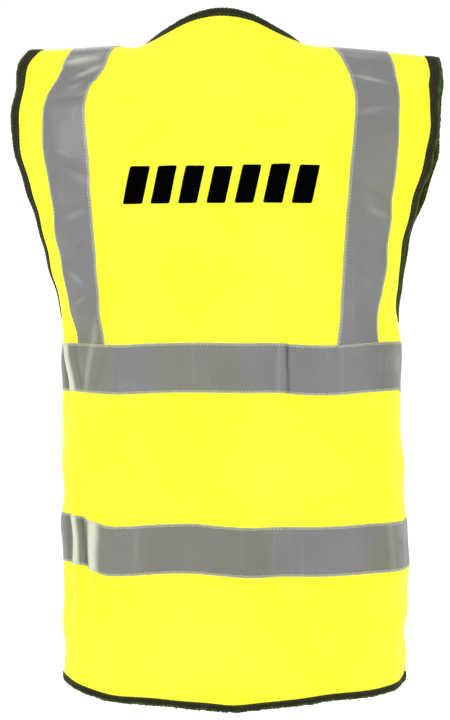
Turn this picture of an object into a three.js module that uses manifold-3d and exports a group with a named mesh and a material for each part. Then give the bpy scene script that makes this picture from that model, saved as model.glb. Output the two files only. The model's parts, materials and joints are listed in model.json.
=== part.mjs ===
// High visibility vest: a sleeveless tabard of yellow knit with two waist bands, four shoulder
// braces, bound edges and a centre front closed by hook and loop.
// Units are millimetres. +Z is up, the wearer faces -Y, the wearer's left is +X, and the origin is
// midway between the side seams at the level of the hem.
//
// Every piece of cloth is cut flat and bent onto one smooth body form. A place on the form is given
// by a side (back or front), a turn t (0 at the centre line, 1 at the side seam) and a girth height
// v, which is the height up to the chest and then the way over the shoulder.

import * as THREE from 'three';
import { mergeVertices } from 'three/addons/utils/BufferGeometryUtils.js';
import Module from 'manifold-3d';

// ---- driving dimensions ----

const BACK = 1;
const FRONT = -1;

const CHEST_HEIGHT = 520; // above this the form bends over towards the shoulder
const SHOULDER_HEIGHT = 678;
const NECK_RISE = 68; // how much higher the form would stand at the middle of the neck
const NECK_RISE_HALF_WIDTH = 110;
const NECK_RISE_POWER = 3;
const ARMHOLE_BOTTOM = 402;
const BODY_HALF_DEPTH = 118;
const BODY_FULLNESS = 0.8; // 1 is an ellipse, less is squarer
const SHOULDER_RUN = 219; // way over the shoulder, from chest height to the ridge
const SEAT_RUN = 12; // level strip from the ridge to the shoulder seam, where a hanger bears
const SEAT_SHARE = 0.1; // half depth of that strip as a share of the body's depth
const RIDGE = CHEST_HEIGHT + SHOULDER_RUN;
const SHOULDER_SEAM = RIDGE + SEAT_RUN;

// half width of the cloth at each height: side seam below the armhole, armhole edge above it
const HALF_WIDTHS = [
  [-20, 172],
  [0, 172.5],
  [161, 178.5],
  [344, 175],
  [ARMHOLE_BOTTOM, 176],
  [446, 184],
  [508, 200],
  [570, 218],
  [612, 221],
  [655, 218.5],
  [SHOULDER_HEIGHT, 207],
  [700, 190],
];
const DELTOID_ROOM = 17; // how far the form passes the armhole edge, for the upper arm
const DELTOID_ROOM_POWER = 1.25;

const CLOTH = 1.2; // thickness of the body cloth
const TAPE = 0.8;
const PRINT = 0.4;
const BINDING = 0.8;
const FASTENER = 1.2;
const GAP = 0.6; // clearance between neighbouring pieces
const BINDING_GAP = 1; // clearance between the cloth and the binding folded round its edge
const SEAM = 0.25; // half the clearance at a seam
const SEAM_RUN = 0.5; // the same at the shoulder seam, measured along the level strip

const HEM_RISE = 20; // the hem curves up this much at the side seams
const HEM_RISE_POWER = 2.5;
const NECK_HALF_WIDTH = 74;
const NECK_HALF_DEPTH = 70; // from the shoulder seam to the back of the neck
const NECK_CUT_ROOM = 1;
const FRONT_OVERLAP = 20; // each front passes the centre line by this much
const V_BOTTOM = 450;
const V_BEND = 1.25;
const OVERLAP_LIFT = 5.5; // how far the upper front stands off the lower one
const LIFT_FULL_X = 24;
const LIFT_NONE_X = 60;

const TAPE_WIDTH = 50;
const BAND_BOTTOMS = { upper: 319, lower: 136.5 };
const UPPER_BAND_TOP = BAND_BOTTOMS.upper + TAPE_WIDTH;
const BRACE_CENTRES = [
  [300, 139],
  [370, 141],
  [440, 146],
  [510, 152],
  [606, 159],
  [658, 150],
  [RIDGE, 138],
  [SHOULDER_SEAM + SEAT_RUN, 137],
];

const BINDING_WIDTH = 9;

const PRINT_BOTTOM = 509;
const PRINT_HEIGHT = 37;
const PRINT_WIDTH = 199;
const PRINT_BARS = 7;
const PRINT_BAR_WIDTH = 21;
const PRINT_SLANT = 8;

const FASTENER_WIDTH = 20;
const FASTENERS = { chest: [382, 436], waist: [205, 300] };

const LABEL_WIDTH = 42;
const LABEL_LENGTH = 62;
const LABEL_THICKNESS = 0.8;
const LABEL_TOP = 680;
const LABEL_DEPTH = 80; // its sewn edge, behind the shoulder seam

// each front folds back along a sloping line, given by its x at the hem and at FOLD_TOP
const FOLD_TOP = 630;
const FOLDS = {
  left: { hemX: 145, topX: 44 },
  right: { hemX: 118, topX: 34 },
};
const FLAP_TIP_WIDTH = 12; // a flap stops where it has narrowed to this
const NECK_BINDING_CLEAR = 12; // height from a flap's tip to the end of the neck binding

const BACK_COLUMNS = 34;
const COLUMN_SPREAD = 1.12; // draws the back's columns a little towards its centre line
const NECK_STEPS = 14;
const FRONT_COLUMNS = 12;
const FLAP_COLUMNS = 10;
const FLAP_LOWER_ROWS = 6;
const FLAP_UPPER_ROWS = 11;
const BRACE_COLUMNS = 4;
const BRACE_ROWS = 22;
const PRINT_ROWS = 3;
const FASTENER_GRID = 2;
const TORSO_ROWS = 8;
const ARMHOLE_ROWS = 22;
const UNDERARM_EASE = 0.15;
const TURN_STEP = 0.004; // steps that the form's directions are measured over
const HEIGHT_STEP = 0.5;
const FOLD_PASSES = 8;

// ---- materials ----

function finish(color, roughness, metalness = 0) {
  return new THREE.MeshStandardMaterial({ color, roughness, metalness });
}

const YELLOW_KNIT = finish(0xfcff30, 0.9);
const SILVER_TAPE = finish(0x8c8c8c, 0.45, 0.1);
const DARK_BINDING = finish(0x33361f, 0.85);
const BLACK_PRINT = finish(0x0b0b0b, 0.6);
const YELLOW_FASTENER = finish(0xe6ec3a, 0.95);
const WHITE_LABEL = finish(0xf2f2ee, 0.7);

// ---- small helpers ----

const lerp = THREE.MathUtils.lerp;
const clamp = THREE.MathUtils.clamp;
const QUARTER = Math.PI / 2;

function signedPower(value, power) {
  return Math.sign(value) * Math.abs(value) ** power;
}

// smooth curve through [place, value] points, level with the slope of its neighbours at each point
function curveThrough(points, place) {
  const last = points.length - 2;
  const next = points.findIndex(([at]) => at > place);
  const i = next < 0 ? last : Math.max(next - 1, 0);
  const slope = (k) => {
    const [before, after] = [points[Math.max(k - 1, 0)], points[Math.min(k + 1, last + 1)]];
    return (after[1] - before[1]) / (after[0] - before[0]);
  };
  const span = points[i + 1][0] - points[i][0];
  const s = (place - points[i][0]) / span;
  const rise = points[i + 1][1] - points[i][1];
  const bendIn = slope(i) * span - rise;
  const bendOut = rise - slope(i + 1) * span;
  return points[i][1] + s * rise + s * (1 - s) * (bendIn * (1 - s) + bendOut * s);
}

// ---- the body form ----

// angle over the shoulder: 0 up to chest height, a quarter turn at the ridge
function shoulderAngle(v) {
  return clamp((v - CHEST_HEIGHT) / SHOULDER_RUN, 0, 1) * QUARTER;
}

// height of the shoulder's outer part, where the form has no neck rise
function level(v) {
  return Math.min(v, CHEST_HEIGHT) + (SHOULDER_HEIGHT - CHEST_HEIGHT) * Math.sin(shoulderAngle(v));
}

function clothHalfWidth(v) {
  return curveThrough(HALF_WIDTHS, level(v));
}

function formHalfWidth(v) {
  const share = clamp((level(v) - ARMHOLE_BOTTOM) / (SHOULDER_HEIGHT - ARMHOLE_BOTTOM), 0, 1);
  return clothHalfWidth(v) + DELTOID_ROOM * Math.sin(share * QUARTER) ** DELTOID_ROOM_POWER;
}

function ridgeHeight(x) {
  const inside = Math.max(0, 1 - (x / NECK_RISE_HALF_WIDTH) ** 2);
  return SHOULDER_HEIGHT + NECK_RISE * inside ** NECK_RISE_POWER;
}

function depthShare(v) {
  if (v > RIDGE) {
    return SEAT_SHARE * (1 - (v - RIDGE) / SEAT_RUN);
  }
  return SEAT_SHARE + (1 - SEAT_SHARE) * Math.cos(shoulderAngle(v));
}

function formPoint(side, t, v) {
  const x = formHalfWidth(v) * signedPower(Math.sin(t * QUARTER), BODY_FULLNESS);
  const depth = BODY_HALF_DEPTH * signedPower(Math.cos(t * QUARTER), BODY_FULLNESS);
  const lift = (ridgeHeight(x) - CHEST_HEIGHT) * Math.sin(shoulderAngle(v));
  return new THREE.Vector3(x, side * depth * depthShare(v), Math.min(v, CHEST_HEIGHT) + lift);
}

function turnAt(x, v) {
  const share = clamp(x / formHalfWidth(v), -1, 1);
  return Math.asin(signedPower(share, 1 / BODY_FULLNESS)) / QUARTER;
}

// directions of growing turn and growing height on the form, and the outward normal
function formFrame(side, t, v) {
  const across = formPoint(side, t + TURN_STEP, v).sub(formPoint(side, t - TURN_STEP, v));
  const up = formPoint(side, t, v + HEIGHT_STEP).sub(formPoint(side, t, v - HEIGHT_STEP));
  across.divideScalar(2 * TURN_STEP);
  up.divideScalar(2 * HEIGHT_STEP);
  const normal = new THREE.Vector3().crossVectors(up, across).multiplyScalar(side).normalize();
  return { across, up, normal };
}

function pointOver(side, t, v, height) {
  return formPoint(side, t, v).addScaledVector(formFrame(side, t, v).normal, height);
}

// turn of the armhole's edge, or of the side seam's clearance below it
function edgeTurn(v) {
  const seamTurn = Math.acos((SEAM / BODY_HALF_DEPTH) ** (1 / BODY_FULLNESS)) / QUARTER;
  return Math.min(turnAt(clothHalfWidth(v), v), seamTurn);
}

function hemHeight(x) {
  return HEM_RISE * Math.min(1, Math.abs(x) / HALF_WIDTHS[1][1]) ** HEM_RISE_POWER;
}

// girth height of the place with a given depth behind or before the shoulder seam
function heightAtDepth(depth, x) {
  const share = depth / (BODY_HALF_DEPTH * Math.cos(turnAt(x, RIDGE) * QUARTER) ** BODY_FULLNESS);
  if (share < SEAT_SHARE) {
    return RIDGE + SEAT_RUN * (1 - share / SEAT_SHARE);
  }
  return CHEST_HEIGHT + (SHOULDER_RUN * Math.acos((share - SEAT_SHARE) / (1 - SEAT_SHARE))) / QUARTER;
}

// girth height of the place with a given height above the hem
function heightAtLevel(z, x) {
  if (z < CHEST_HEIGHT) {
    return z;
  }
  const share = (z - CHEST_HEIGHT) / (ridgeHeight(x) - CHEST_HEIGHT);
  return CHEST_HEIGHT + (SHOULDER_RUN * Math.asin(share)) / QUARTER;
}

// ---- flat blanks bent onto the form ----

// A sheet is a flat slab with its own grid, bent so that column i, row j and face k (0 inner,
// 1 outer) land where place(i, j, k) says. Columns run towards +X.
function bentSlab(side, columns, rows, place) {
  const geometry = new THREE.BoxGeometry(columns, rows, 1, columns, rows, 1);
  const position = geometry.attributes.position;
  for (let n = 0; n < position.count; n++) {
    const across = Math.round(position.getX(n) + columns / 2);
    const i = side === BACK ? columns - across : across;
    const j = Math.round(position.getY(n) + rows / 2);
    const k = position.getZ(n) > 0 ? 1 : 0;
    const p = place(i, j, k);
    position.setXYZ(n, p.x, p.y, p.z);
  }
  geometry.deleteAttribute('uv');
  geometry.computeVertexNormals();
  return geometry;
}

// A patch of cloth or tape between two side edges and two end edges, lying base above the form.
// turns(v) gives its two side edges, ends(share) its lower and upper edge at a share of its width.
function patch({ side, turns, ends, base, thick, columns, rows, columnShare, rowShare, lift }) {
  const toColumn = columnShare ?? ((i) => i / columns);
  const toRow = rowShare ?? ((j) => j / rows);
  const extra = lift ?? (() => 0);
  return bentSlab(side, columns, rows, (i, j, k) => {
    const share = toColumn(i);
    const [low, high] = ends(share);
    const v = lerp(low, high, toRow(j));
    const [from, to] = turns(v);
    const t = lerp(from, to, share);
    const x = formPoint(side, t, v).x;
    return pointOver(side, t, v, base + k * thick + extra(x));
  });
}

// A folded binding: a U-shaped strip swept along an edge. stations are [side, t, v] places along
// the edge with the cloth on the left hand, seen from outside.
function bindingAlong(stations, lift = () => 0) {
  const top = CLOTH + BINDING_GAP;
  const inner = -BINDING_GAP;
  const section = new THREE.Shape([
    new THREE.Vector2(BINDING_WIDTH, top),
    new THREE.Vector2(BINDING_WIDTH, top + BINDING),
    new THREE.Vector2(inner - BINDING, top + BINDING),
    new THREE.Vector2(inner - BINDING, inner - BINDING),
    new THREE.Vector2(BINDING_WIDTH, inner - BINDING),
    new THREE.Vector2(BINDING_WIDTH, inner),
    new THREE.Vector2(inner, inner),
    new THREE.Vector2(inner, top),
  ]);
  const steps = stations.length - 1;
  const geometry = new THREE.ExtrudeGeometry(section, { depth: steps, steps, bevelEnabled: false });
  const places = stations.map(([side, t, v]) => formPoint(side, t, v));
  const frames = stations.map(([side, t, v], n) => {
    const frame = formFrame(side, t, v);
    const next = places[Math.min(n + 1, steps)];
    const before = places[Math.max(n - 1, 0)];
    const along = new THREE.Vector3().subVectors(next, before).normalize();
    return { ...frame, inward: new THREE.Vector3().crossVectors(frame.normal, along).normalize() };
  });
  const position = geometry.attributes.position;
  for (let n = 0; n < position.count; n++) {
    const at = Math.round(position.getZ(n));
    const [side, t, v] = stations[at];
    const { across, up, inward } = frames[at];
    const aa = across.dot(across);
    const au = across.dot(up);
    const uu = up.dot(up);
    const inA = inward.dot(across);
    const inU = inward.dot(up);
    const det = aa * uu - au * au;
    const reachIn = position.getX(n);
    const t2 = t + (reachIn * (inA * uu - inU * au)) / det;
    const v2 = v + (reachIn * (inU * aa - inA * au)) / det;
    const x = formPoint(side, t2, v2).x;
    const p = pointOver(side, t2, v2, position.getY(n) + lift(x, side));
    position.setXYZ(n, p.x, p.y, p.z);
  }
  geometry.deleteAttribute('uv');
  geometry.computeVertexNormals();
  return geometry;
}

// ---- solids, where a piece needs a cut ----

const wasm = await Module();
wasm.setup();

function toSolid(geometry) {
  const bare = geometry.clone();
  bare.deleteAttribute('normal');
  bare.deleteAttribute('uv');
  const merged = mergeVertices(bare);
  return new wasm.Manifold(new wasm.Mesh({
    numProp: 3,
    vertProperties: merged.attributes.position.array,
    triVerts: new Uint32Array(merged.index.array),
  }));
}

function cutAway(geometry, cutter) {
  const { vertProperties, triVerts } = toSolid(geometry).subtract(toSolid(cutter)).getMesh();
  const cut = new THREE.BufferGeometry();
  cut.setAttribute('position', new THREE.BufferAttribute(vertProperties, 3));
  cut.setIndex(new THREE.BufferAttribute(triVerts, 1));
  cut.computeVertexNormals();
  return cut;
}

// an upright oval column through the back of the neck opening, a little larger than its edge
function neckCutter() {
  const column = new THREE.CylinderGeometry(1, 1, 2 * NECK_RISE, 4 * NECK_STEPS);
  column.rotateX(QUARTER);
  column.scale(NECK_HALF_WIDTH + NECK_CUT_ROOM, NECK_HALF_DEPTH + NECK_CUT_ROOM, 1);
  column.translate(0, 0, SHOULDER_HEIGHT + NECK_RISE / 2);
  return column;
}

// ---- outlines of the cloth ----

const PANEL_TOP = SHOULDER_SEAM - SEAM_RUN;

// rows of the armhole edge up to the ridge, closer together where it turns round the underarm,
// and one more row for the level strip at the shoulder seam
function armholeHeight(k) {
  if (k === ARMHOLE_ROWS) {
    return PANEL_TOP;
  }
  const s = k / (ARMHOLE_ROWS - 1);
  return ARMHOLE_BOTTOM + ((RIDGE - ARMHOLE_BOTTOM) * (1 + UNDERARM_EASE) * s * s) / (s + UNDERARM_EASE);
}

const PANEL_ROWS = TORSO_ROWS + ARMHOLE_ROWS;
const EDGE_HEM = hemHeight(HALF_WIDTHS[1][1]);

function panelRowShare(j) {
  const height =
    j < TORSO_ROWS
      ? lerp(EDGE_HEM, ARMHOLE_BOTTOM, j / TORSO_ROWS)
      : armholeHeight(j - TORSO_ROWS);
  return (height - EDGE_HEM) / (PANEL_TOP - EDGE_HEM);
}

// the neck opening's edge behind the shoulder seam, from the right neck point round to the left one
function backNeckEdge() {
  const places = [];
  for (let n = 0; n <= NECK_STEPS; n++) {
    const angle = (2 * n / NECK_STEPS - 1) * QUARTER;
    const x = NECK_HALF_WIDTH * Math.sin(angle);
    const v = Math.min(PANEL_TOP, heightAtDepth(NECK_HALF_DEPTH * Math.cos(angle), x));
    places.push([BACK, turnAt(x, v), v]);
  }
  return places;
}

// column of the back, from -1 at its right edge to 1 at its left edge
function backShare(i) {
  return signedPower((2 * i) / BACK_COLUMNS - 1, COLUMN_SPREAD);
}

// side edges of the back at a girth height
function backTurns(v) {
  return [-edgeTurn(v), edgeTurn(v)];
}

// x of a front's fold at a girth height
function foldX(hand, v) {
  const { hemX, topX } = FOLDS[hand];
  let x = hemX;
  for (let pass = 0; pass < FOLD_PASSES; pass++) {
    x = lerp(hemX, topX, formPoint(FRONT, turnAt(x, v), v).z / FOLD_TOP);
  }
  return x;
}

// x of a front's own free edge: straight up the overlap, then sweeping out to the neck point
function freeEdgeX(v) {
  const share = clamp((v - V_BOTTOM) / (SHOULDER_SEAM - V_BOTTOM), 0, 1);
  const sweep = Math.sin(share * QUARTER) ** V_BEND;
  return lerp(-FRONT_OVERLAP, NECK_HALF_WIDTH, sweep);
}

// girth height where a flap has narrowed to its tip
function flapTop(hand) {
  let v = V_BOTTOM;
  while (foldX(hand, v) - freeEdgeX(v) > FLAP_TIP_WIDTH) {
    v += 1;
  }
  return v;
}

// the left front lies over the right one where they cross
function overlapLift(x) {
  return OVERLAP_LIFT * (1 - THREE.MathUtils.smoothstep(x, LIFT_FULL_X, LIFT_NONE_X));
}

// ---- the pieces ----

const vest = new THREE.Group();

function add(name, geometry, material, mirror = false) {
  if (mirror) {
    mirrorX(geometry);
  }
  const mesh = new THREE.Mesh(geometry, material);
  mesh.name = name;
  vest.add(mesh);
  return mesh;
}

// reflects a geometry to the other side of the body and turns its triangles the right way round
function mirrorX(geometry) {
  geometry.scale(-1, 1, 1);
  if (!geometry.index) {
    const count = geometry.attributes.position.count;
    geometry.setIndex([...Array(count).keys()]);
  }
  const index = geometry.index.array;
  for (let n = 0; n < index.length; n += 3) {
    [index[n], index[n + 1]] = [index[n + 1], index[n]];
  }
}

// place on the hem at a share of a sheet's width, where the hem's height depends on its x
function hemPlace(side, turns, share) {
  let v = 0;
  for (let pass = 0; pass < FOLD_PASSES; pass++) {
    v = hemHeight(formPoint(side, lerp(...turns(v), share), v).x);
  }
  return [side, lerp(...turns(v), share), v];
}

function hemPlaces(side, turns, shares) {
  return shares.map((share) => hemPlace(side, turns, share));
}

function evenShares(columns) {
  return Array.from({ length: columns + 1 }, (_, i) => i / columns);
}

// the upper and lower waist tapes over one sheet of cloth
function addBands(nameOf, sheet, mirror) {
  for (const [which, bottom] of Object.entries(BAND_BOTTOMS)) {
    const ends = () => [bottom, bottom + TAPE_WIDTH];
    const tape = patch({ ...sheet, ends, base: CLOTH + GAP, thick: TAPE, rows: 1 });
    add(nameOf(which), tape, SILVER_TAPE, mirror);
  }
}

function buildBack() {
  const sheet = { side: BACK, turns: backTurns, columns: BACK_COLUMNS };
  const columnShare = (i) => (backShare(i) + 1) / 2;
  const hemAt = (share) => hemPlace(BACK, backTurns, share)[2];
  const whole = patch({
    ...sheet,
    ends: (share) => [hemAt(share), PANEL_TOP],
    base: 0,
    thick: CLOTH,
    rows: PANEL_ROWS,
    columnShare,
    rowShare: panelRowShare,
  });
  add('back_panel', cutAway(whole, neckCutter()), YELLOW_KNIT);
  addBands((which) => `${which}_band_back`, { ...sheet, columnShare });
  const shares = evenShares(BACK_COLUMNS).map((_, i) => columnShare(BACK_COLUMNS - i));
  add('hem_binding_back', bindingAlong(hemPlaces(BACK, backTurns, shares)), DARK_BINDING);
}

// a brace is a tape of constant width whose centre line bows outward round the shoulder blade
function buildBrace(name, side, mirror) {
  const turns = (v) => {
    const centre = turnAt(curveThrough(BRACE_CENTRES, v), v);
    const half = TAPE_WIDTH / 2 / formFrame(side, centre, v).across.length();
    return [centre - half, centre + half];
  };
  add(name, patch({
    side,
    turns,
    ends: () => [UPPER_BAND_TOP + GAP, PANEL_TOP],
    base: CLOTH + GAP,
    thick: TAPE,
    columns: BRACE_COLUMNS,
    rows: BRACE_ROWS,
  }), SILVER_TAPE, mirror);
}

function buildPrint() {
  const pitch = (PRINT_WIDTH - PRINT_SLANT - PRINT_BAR_WIDTH) / (PRINT_BARS - 1);
  for (let n = 0; n < PRINT_BARS; n++) {
    const start = PRINT_WIDTH / 2 - PRINT_BAR_WIDTH - n * pitch;
    const turns = (v) => {
      const lean = (PRINT_SLANT * (v - PRINT_BOTTOM)) / PRINT_HEIGHT;
      return [turnAt(start - lean, v), turnAt(start + PRINT_BAR_WIDTH - lean, v)];
    };
    add(`print_bar_${n + 1}`, patch({
      side: BACK,
      turns,
      ends: () => [PRINT_BOTTOM, heightAtLevel(PRINT_BOTTOM + PRINT_HEIGHT, start)],
      base: CLOTH + GAP,
      thick: PRINT,
      columns: 1,
      rows: PRINT_ROWS,
    }), BLACK_PRINT);
  }
}

// the part of a front between its fold and the side seam, armhole and shoulder
function buildFrontSide(hand, mirror) {
  const lift = hand === 'left' ? overlapLift : undefined;
  const innerX = (v) => Math.max(foldX(hand, v) + SEAM, freeEdgeX(v));
  const turns = (v) => [turnAt(innerX(v), v), edgeTurn(v)];
  const hemAt = (share) => hemPlace(FRONT, turns, share)[2];
  const sheet = { side: FRONT, turns, columns: FRONT_COLUMNS, lift };
  add(`${hand}_front_panel`, patch({
    ...sheet,
    ends: (share) => [hemAt(share), PANEL_TOP],
    base: 0,
    thick: CLOTH,
    rows: PANEL_ROWS,
    rowShare: panelRowShare,
  }), YELLOW_KNIT, mirror);
  addBands((which) => `${hand}_${which}_band`, sheet, mirror);
  const hem = hemPlaces(FRONT, turns, evenShares(FRONT_COLUMNS));
  add(`${hand}_hem_binding`, bindingAlong(hem, lift), DARK_BINDING, mirror);
}

// the part of a front between its free edge and its fold, which turns back as a flap
function buildFlap(hand, mirror) {
  const isOver = hand === 'left';
  const lift = isOver ? overlapLift : undefined;
  const turns = (v) => [turnAt(freeEdgeX(v), v), turnAt(foldX(hand, v) - SEAM, v)];
  const top = flapTop(hand);
  const hemAt = (share) => hemPlace(FRONT, turns, share)[2];
  const sheet = { side: FRONT, turns, columns: FLAP_COLUMNS, lift };
  const rows = FLAP_LOWER_ROWS + FLAP_UPPER_ROWS;
  const rowShare = (j) =>
    j < FLAP_LOWER_ROWS
      ? ((V_BOTTOM / top) * j) / FLAP_LOWER_ROWS
      : lerp(V_BOTTOM / top, 1, (j - FLAP_LOWER_ROWS) / FLAP_UPPER_ROWS);
  add(`${hand}_flap_panel`, patch({
    ...sheet, ends: (share) => [hemAt(share), top], base: 0, thick: CLOTH, rows, rowShare,
  }), YELLOW_KNIT, mirror);
  const clearOfBinding = (v) => {
    const [, to] = turns(v);
    return [turnAt(freeEdgeX(v) + BINDING_WIDTH + 2 * GAP, v), to];
  };
  addBands((which) => `${hand}_flap_${which}_band`, { ...sheet, turns: clearOfBinding }, mirror);
  const hem = hemPlaces(FRONT, turns, evenShares(FLAP_COLUMNS));
  add(`${hand}_flap_hem_binding`, bindingAlong(hem, lift), DARK_BINDING, mirror);
  const edge = [];
  for (let j = rows; j >= 0; j--) {
    const v = Math.max(top * rowShare(j), BINDING_WIDTH + GAP);
    edge.push([FRONT, turnAt(freeEdgeX(v), v), v]);
  }
  add(`${hand}_front_edge_binding`, bindingAlong(edge, lift), DARK_BINDING, mirror);
  const kind = isOver ? 'hook' : 'loop';
  for (const [place, ends] of Object.entries(FASTENERS)) {
    add(`${kind}_strip_${place}`, patch({
      ...sheet,
      turns: (v) => [turnAt(-FASTENER_WIDTH / 2, v), turnAt(FASTENER_WIDTH / 2, v)],
      ends: () => ends,
      base: isOver ? -GAP - FASTENER : CLOTH + GAP,
      thick: FASTENER,
      columns: FASTENER_GRID,
      rows: FASTENER_GRID,
    }), YELLOW_FASTENER, mirror);
  }
}

// one binding goes all round an armhole, its two ends meeting at the underarm
function buildArmhole(name, mirror) {
  const edge = [];
  for (let k = 0; k <= ARMHOLE_ROWS; k++) {
    const v = armholeHeight(k);
    edge.push([FRONT, edgeTurn(v), v]);
  }
  edge.push([BACK, edgeTurn(SHOULDER_SEAM), SHOULDER_SEAM]);
  for (let k = ARMHOLE_ROWS; k >= 0; k--) {
    const v = armholeHeight(k);
    edge.push([BACK, edgeTurn(v), v]);
  }
  add(name, bindingAlong(edge), DARK_BINDING, mirror);
}

// the neck binding runs from one fold up the front, round the back of the neck and down again
function buildNeckBinding() {
  const edge = [];
  const frontEdge = (hand) => {
    const places = [];
    for (let j = TORSO_ROWS; j <= PANEL_ROWS; j++) {
      const v = lerp(0, PANEL_TOP, panelRowShare(j));
      if (v > flapTop(hand) + NECK_BINDING_CLEAR) {
        places.push([FRONT, turnAt(freeEdgeX(v), v), v]);
      }
    }
    return places;
  };
  for (const [side, t, v] of frontEdge('right')) {
    edge.push([side, -t, v]);
  }
  edge.push(...backNeckEdge());
  edge.push(...frontEdge('left').reverse());
  const lift = (x, side) => (side === FRONT && x > 0 ? overlapLift(x) : 0);
  add('neck_binding', bindingAlong(edge, lift), DARK_BINDING);
}

function buildLabel() {
  const blank = new THREE.BoxGeometry(LABEL_WIDTH, LABEL_THICKNESS, LABEL_LENGTH);
  const label = add('care_label', blank, WHITE_LABEL);
  label.position.set(0, LABEL_DEPTH, LABEL_TOP - LABEL_LENGTH / 2);
}

buildBack();
buildPrint();
buildNeckBinding();
buildLabel();
for (const mirror of [false, true]) {
  const hand = mirror ? 'right' : 'left';
  buildFrontSide(hand, mirror);
  buildFlap(hand, mirror);
  buildBrace(`${hand}_back_brace`, BACK, mirror);
  buildBrace(`${hand}_front_brace`, FRONT, mirror);
  buildArmhole(`${hand}_armhole_binding`, mirror);
}

export default vest;
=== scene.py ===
# High visibility vest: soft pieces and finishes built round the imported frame.
#
# Lengths in the code are millimetres and become metres when a mesh is made. +Z is up, the wearer
# faces -Y and the wearer's left is +X. Every piece of cloth is laid on the same body form as the
# CAD part: a place on it is a sheet ("back", "left" or "right"), a turn t (0 at the centre line,
# 1 at the left side seam, -1 at the right one) and a girth height v.

import json
import math

import bpy
import numpy as np
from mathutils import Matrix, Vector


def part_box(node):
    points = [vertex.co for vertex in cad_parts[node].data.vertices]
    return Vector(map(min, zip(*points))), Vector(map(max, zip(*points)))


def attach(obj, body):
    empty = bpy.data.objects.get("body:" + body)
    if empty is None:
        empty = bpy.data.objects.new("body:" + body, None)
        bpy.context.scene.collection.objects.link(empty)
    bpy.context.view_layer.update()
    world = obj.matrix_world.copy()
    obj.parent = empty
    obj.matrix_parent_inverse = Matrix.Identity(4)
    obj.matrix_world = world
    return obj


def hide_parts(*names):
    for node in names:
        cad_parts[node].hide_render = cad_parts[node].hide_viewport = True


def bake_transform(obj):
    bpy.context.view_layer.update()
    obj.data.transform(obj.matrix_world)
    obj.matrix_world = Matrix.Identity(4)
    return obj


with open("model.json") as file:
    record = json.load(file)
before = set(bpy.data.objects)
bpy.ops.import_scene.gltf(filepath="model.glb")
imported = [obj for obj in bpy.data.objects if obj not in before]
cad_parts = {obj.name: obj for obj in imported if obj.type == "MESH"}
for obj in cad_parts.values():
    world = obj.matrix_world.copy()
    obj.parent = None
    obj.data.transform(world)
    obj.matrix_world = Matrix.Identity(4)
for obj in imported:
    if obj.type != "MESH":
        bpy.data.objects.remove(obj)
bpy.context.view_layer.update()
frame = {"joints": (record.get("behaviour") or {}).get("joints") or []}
MM = 0.001


def node_box(node):
    """Lowest and highest corner of a CAD node, in millimetres."""
    low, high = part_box(node)
    return np.array(low) / MM, np.array(high) / MM


# ---- the body form, as the CAD part states it ----

QUARTER = math.pi / 2
CHEST_HEIGHT = 520
SHOULDER_HEIGHT = 678
NECK_RISE = 68
NECK_RISE_HALF_WIDTH = 110
NECK_RISE_POWER = 3
ARMHOLE_BOTTOM = 402
BODY_HALF_DEPTH = 118
BODY_FULLNESS = 0.8
SHOULDER_RUN = 219
SEAT_RUN = 12
SEAT_SHARE = 0.1
RIDGE = CHEST_HEIGHT + SHOULDER_RUN
SHOULDER_SEAM = RIDGE + SEAT_RUN
PANEL_TOP = SHOULDER_SEAM - 0.3
HALF_WIDTHS = [
    (-20, 172), (0, 172.5), (161, 178.5), (344, 175), (402, 176), (446, 184), (508, 200),
    (570, 218), (612, 221), (655, 218.5), (678, 207), (700, 190),
]
DELTOID_ROOM = 17
DELTOID_ROOM_POWER = 1.25
HEM_RISE = 20
HEM_RISE_POWER = 2.5
HEM_HALF_WIDTH = 172.5
NECK_HALF_WIDTH = 74
NECK_HALF_DEPTH = 70
FRONT_OVERLAP = 20
V_BOTTOM = 450
V_BEND = 1.25
OVERLAP_LIFT = 5.5
LIFT_FULL_X = 24
LIFT_NONE_X = 60
BRACE_CENTRES = [
    (300, 139), (370, 141), (440, 146), (510, 152), (606, 159), (658, 150), (739, 138), (763, 137),
]
# how far each brace has slipped outward from its place, by sheet and hand
BRACE_SLIPS = {
    ("back", "left"): [(300, 1), (376, 1.5), (440, 3.5), (560, 4.5), (606, 6), (630, 6.5), (663, -1.5),
                       (739, -5), (763, -5)],
    ("left", "left"): [(300, 0), (660, 0), (739, -5), (763, -5)],
    ("back", "right"): [(300, -3), (440, -2.5), (560, -1), (640, 0), (763, 0)],
}
LEFT_BRACE_TUCK = [
    (300, 14), (376, 13), (396, 8), (430, 3), (480, 0), (570, 0), (606, 4), (630, 5), (663, 1), (763, 0),
]  # how much of its outer side is lost in a fold
BRACE_WIDTH = 50
FASTENER_HALF_WIDTH = 10

# heights of the pieces sewn to the cloth come from the CAD nodes
BANDS = {
    which: (node_box(f"{which}_band_back")[0][2], node_box(f"{which}_band_back")[1][2])
    for which in ("upper", "lower")
}
FASTENERS = {
    which: (node_box(f"loop_strip_{which}")[0][2], node_box(f"loop_strip_{which}")[1][2])
    for which in ("chest", "waist")
}

# ---- heights over the form at which the layers lie ----

CLOTH_IN, CLOTH_OUT = 0.1, 0.9
TAPE_IN, TAPE_THICK = 1.2, 0.5
BRACE_LIFT = 0.65  # how far a band rises where it covers the end of a brace
PRINT_IN, PRINT_OUT = 1.0, 1.4
FASTENER_THICK = 1.1


def spow(value, power):
    return np.sign(value) * np.abs(value) ** power


def smooth(value, low, high):
    s = np.clip((value - low) / (high - low), 0, 1)
    return s * s * (3 - 2 * s)


def bump(value, centre, width):
    return np.exp(-(((value - centre) / width) ** 2))


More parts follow.
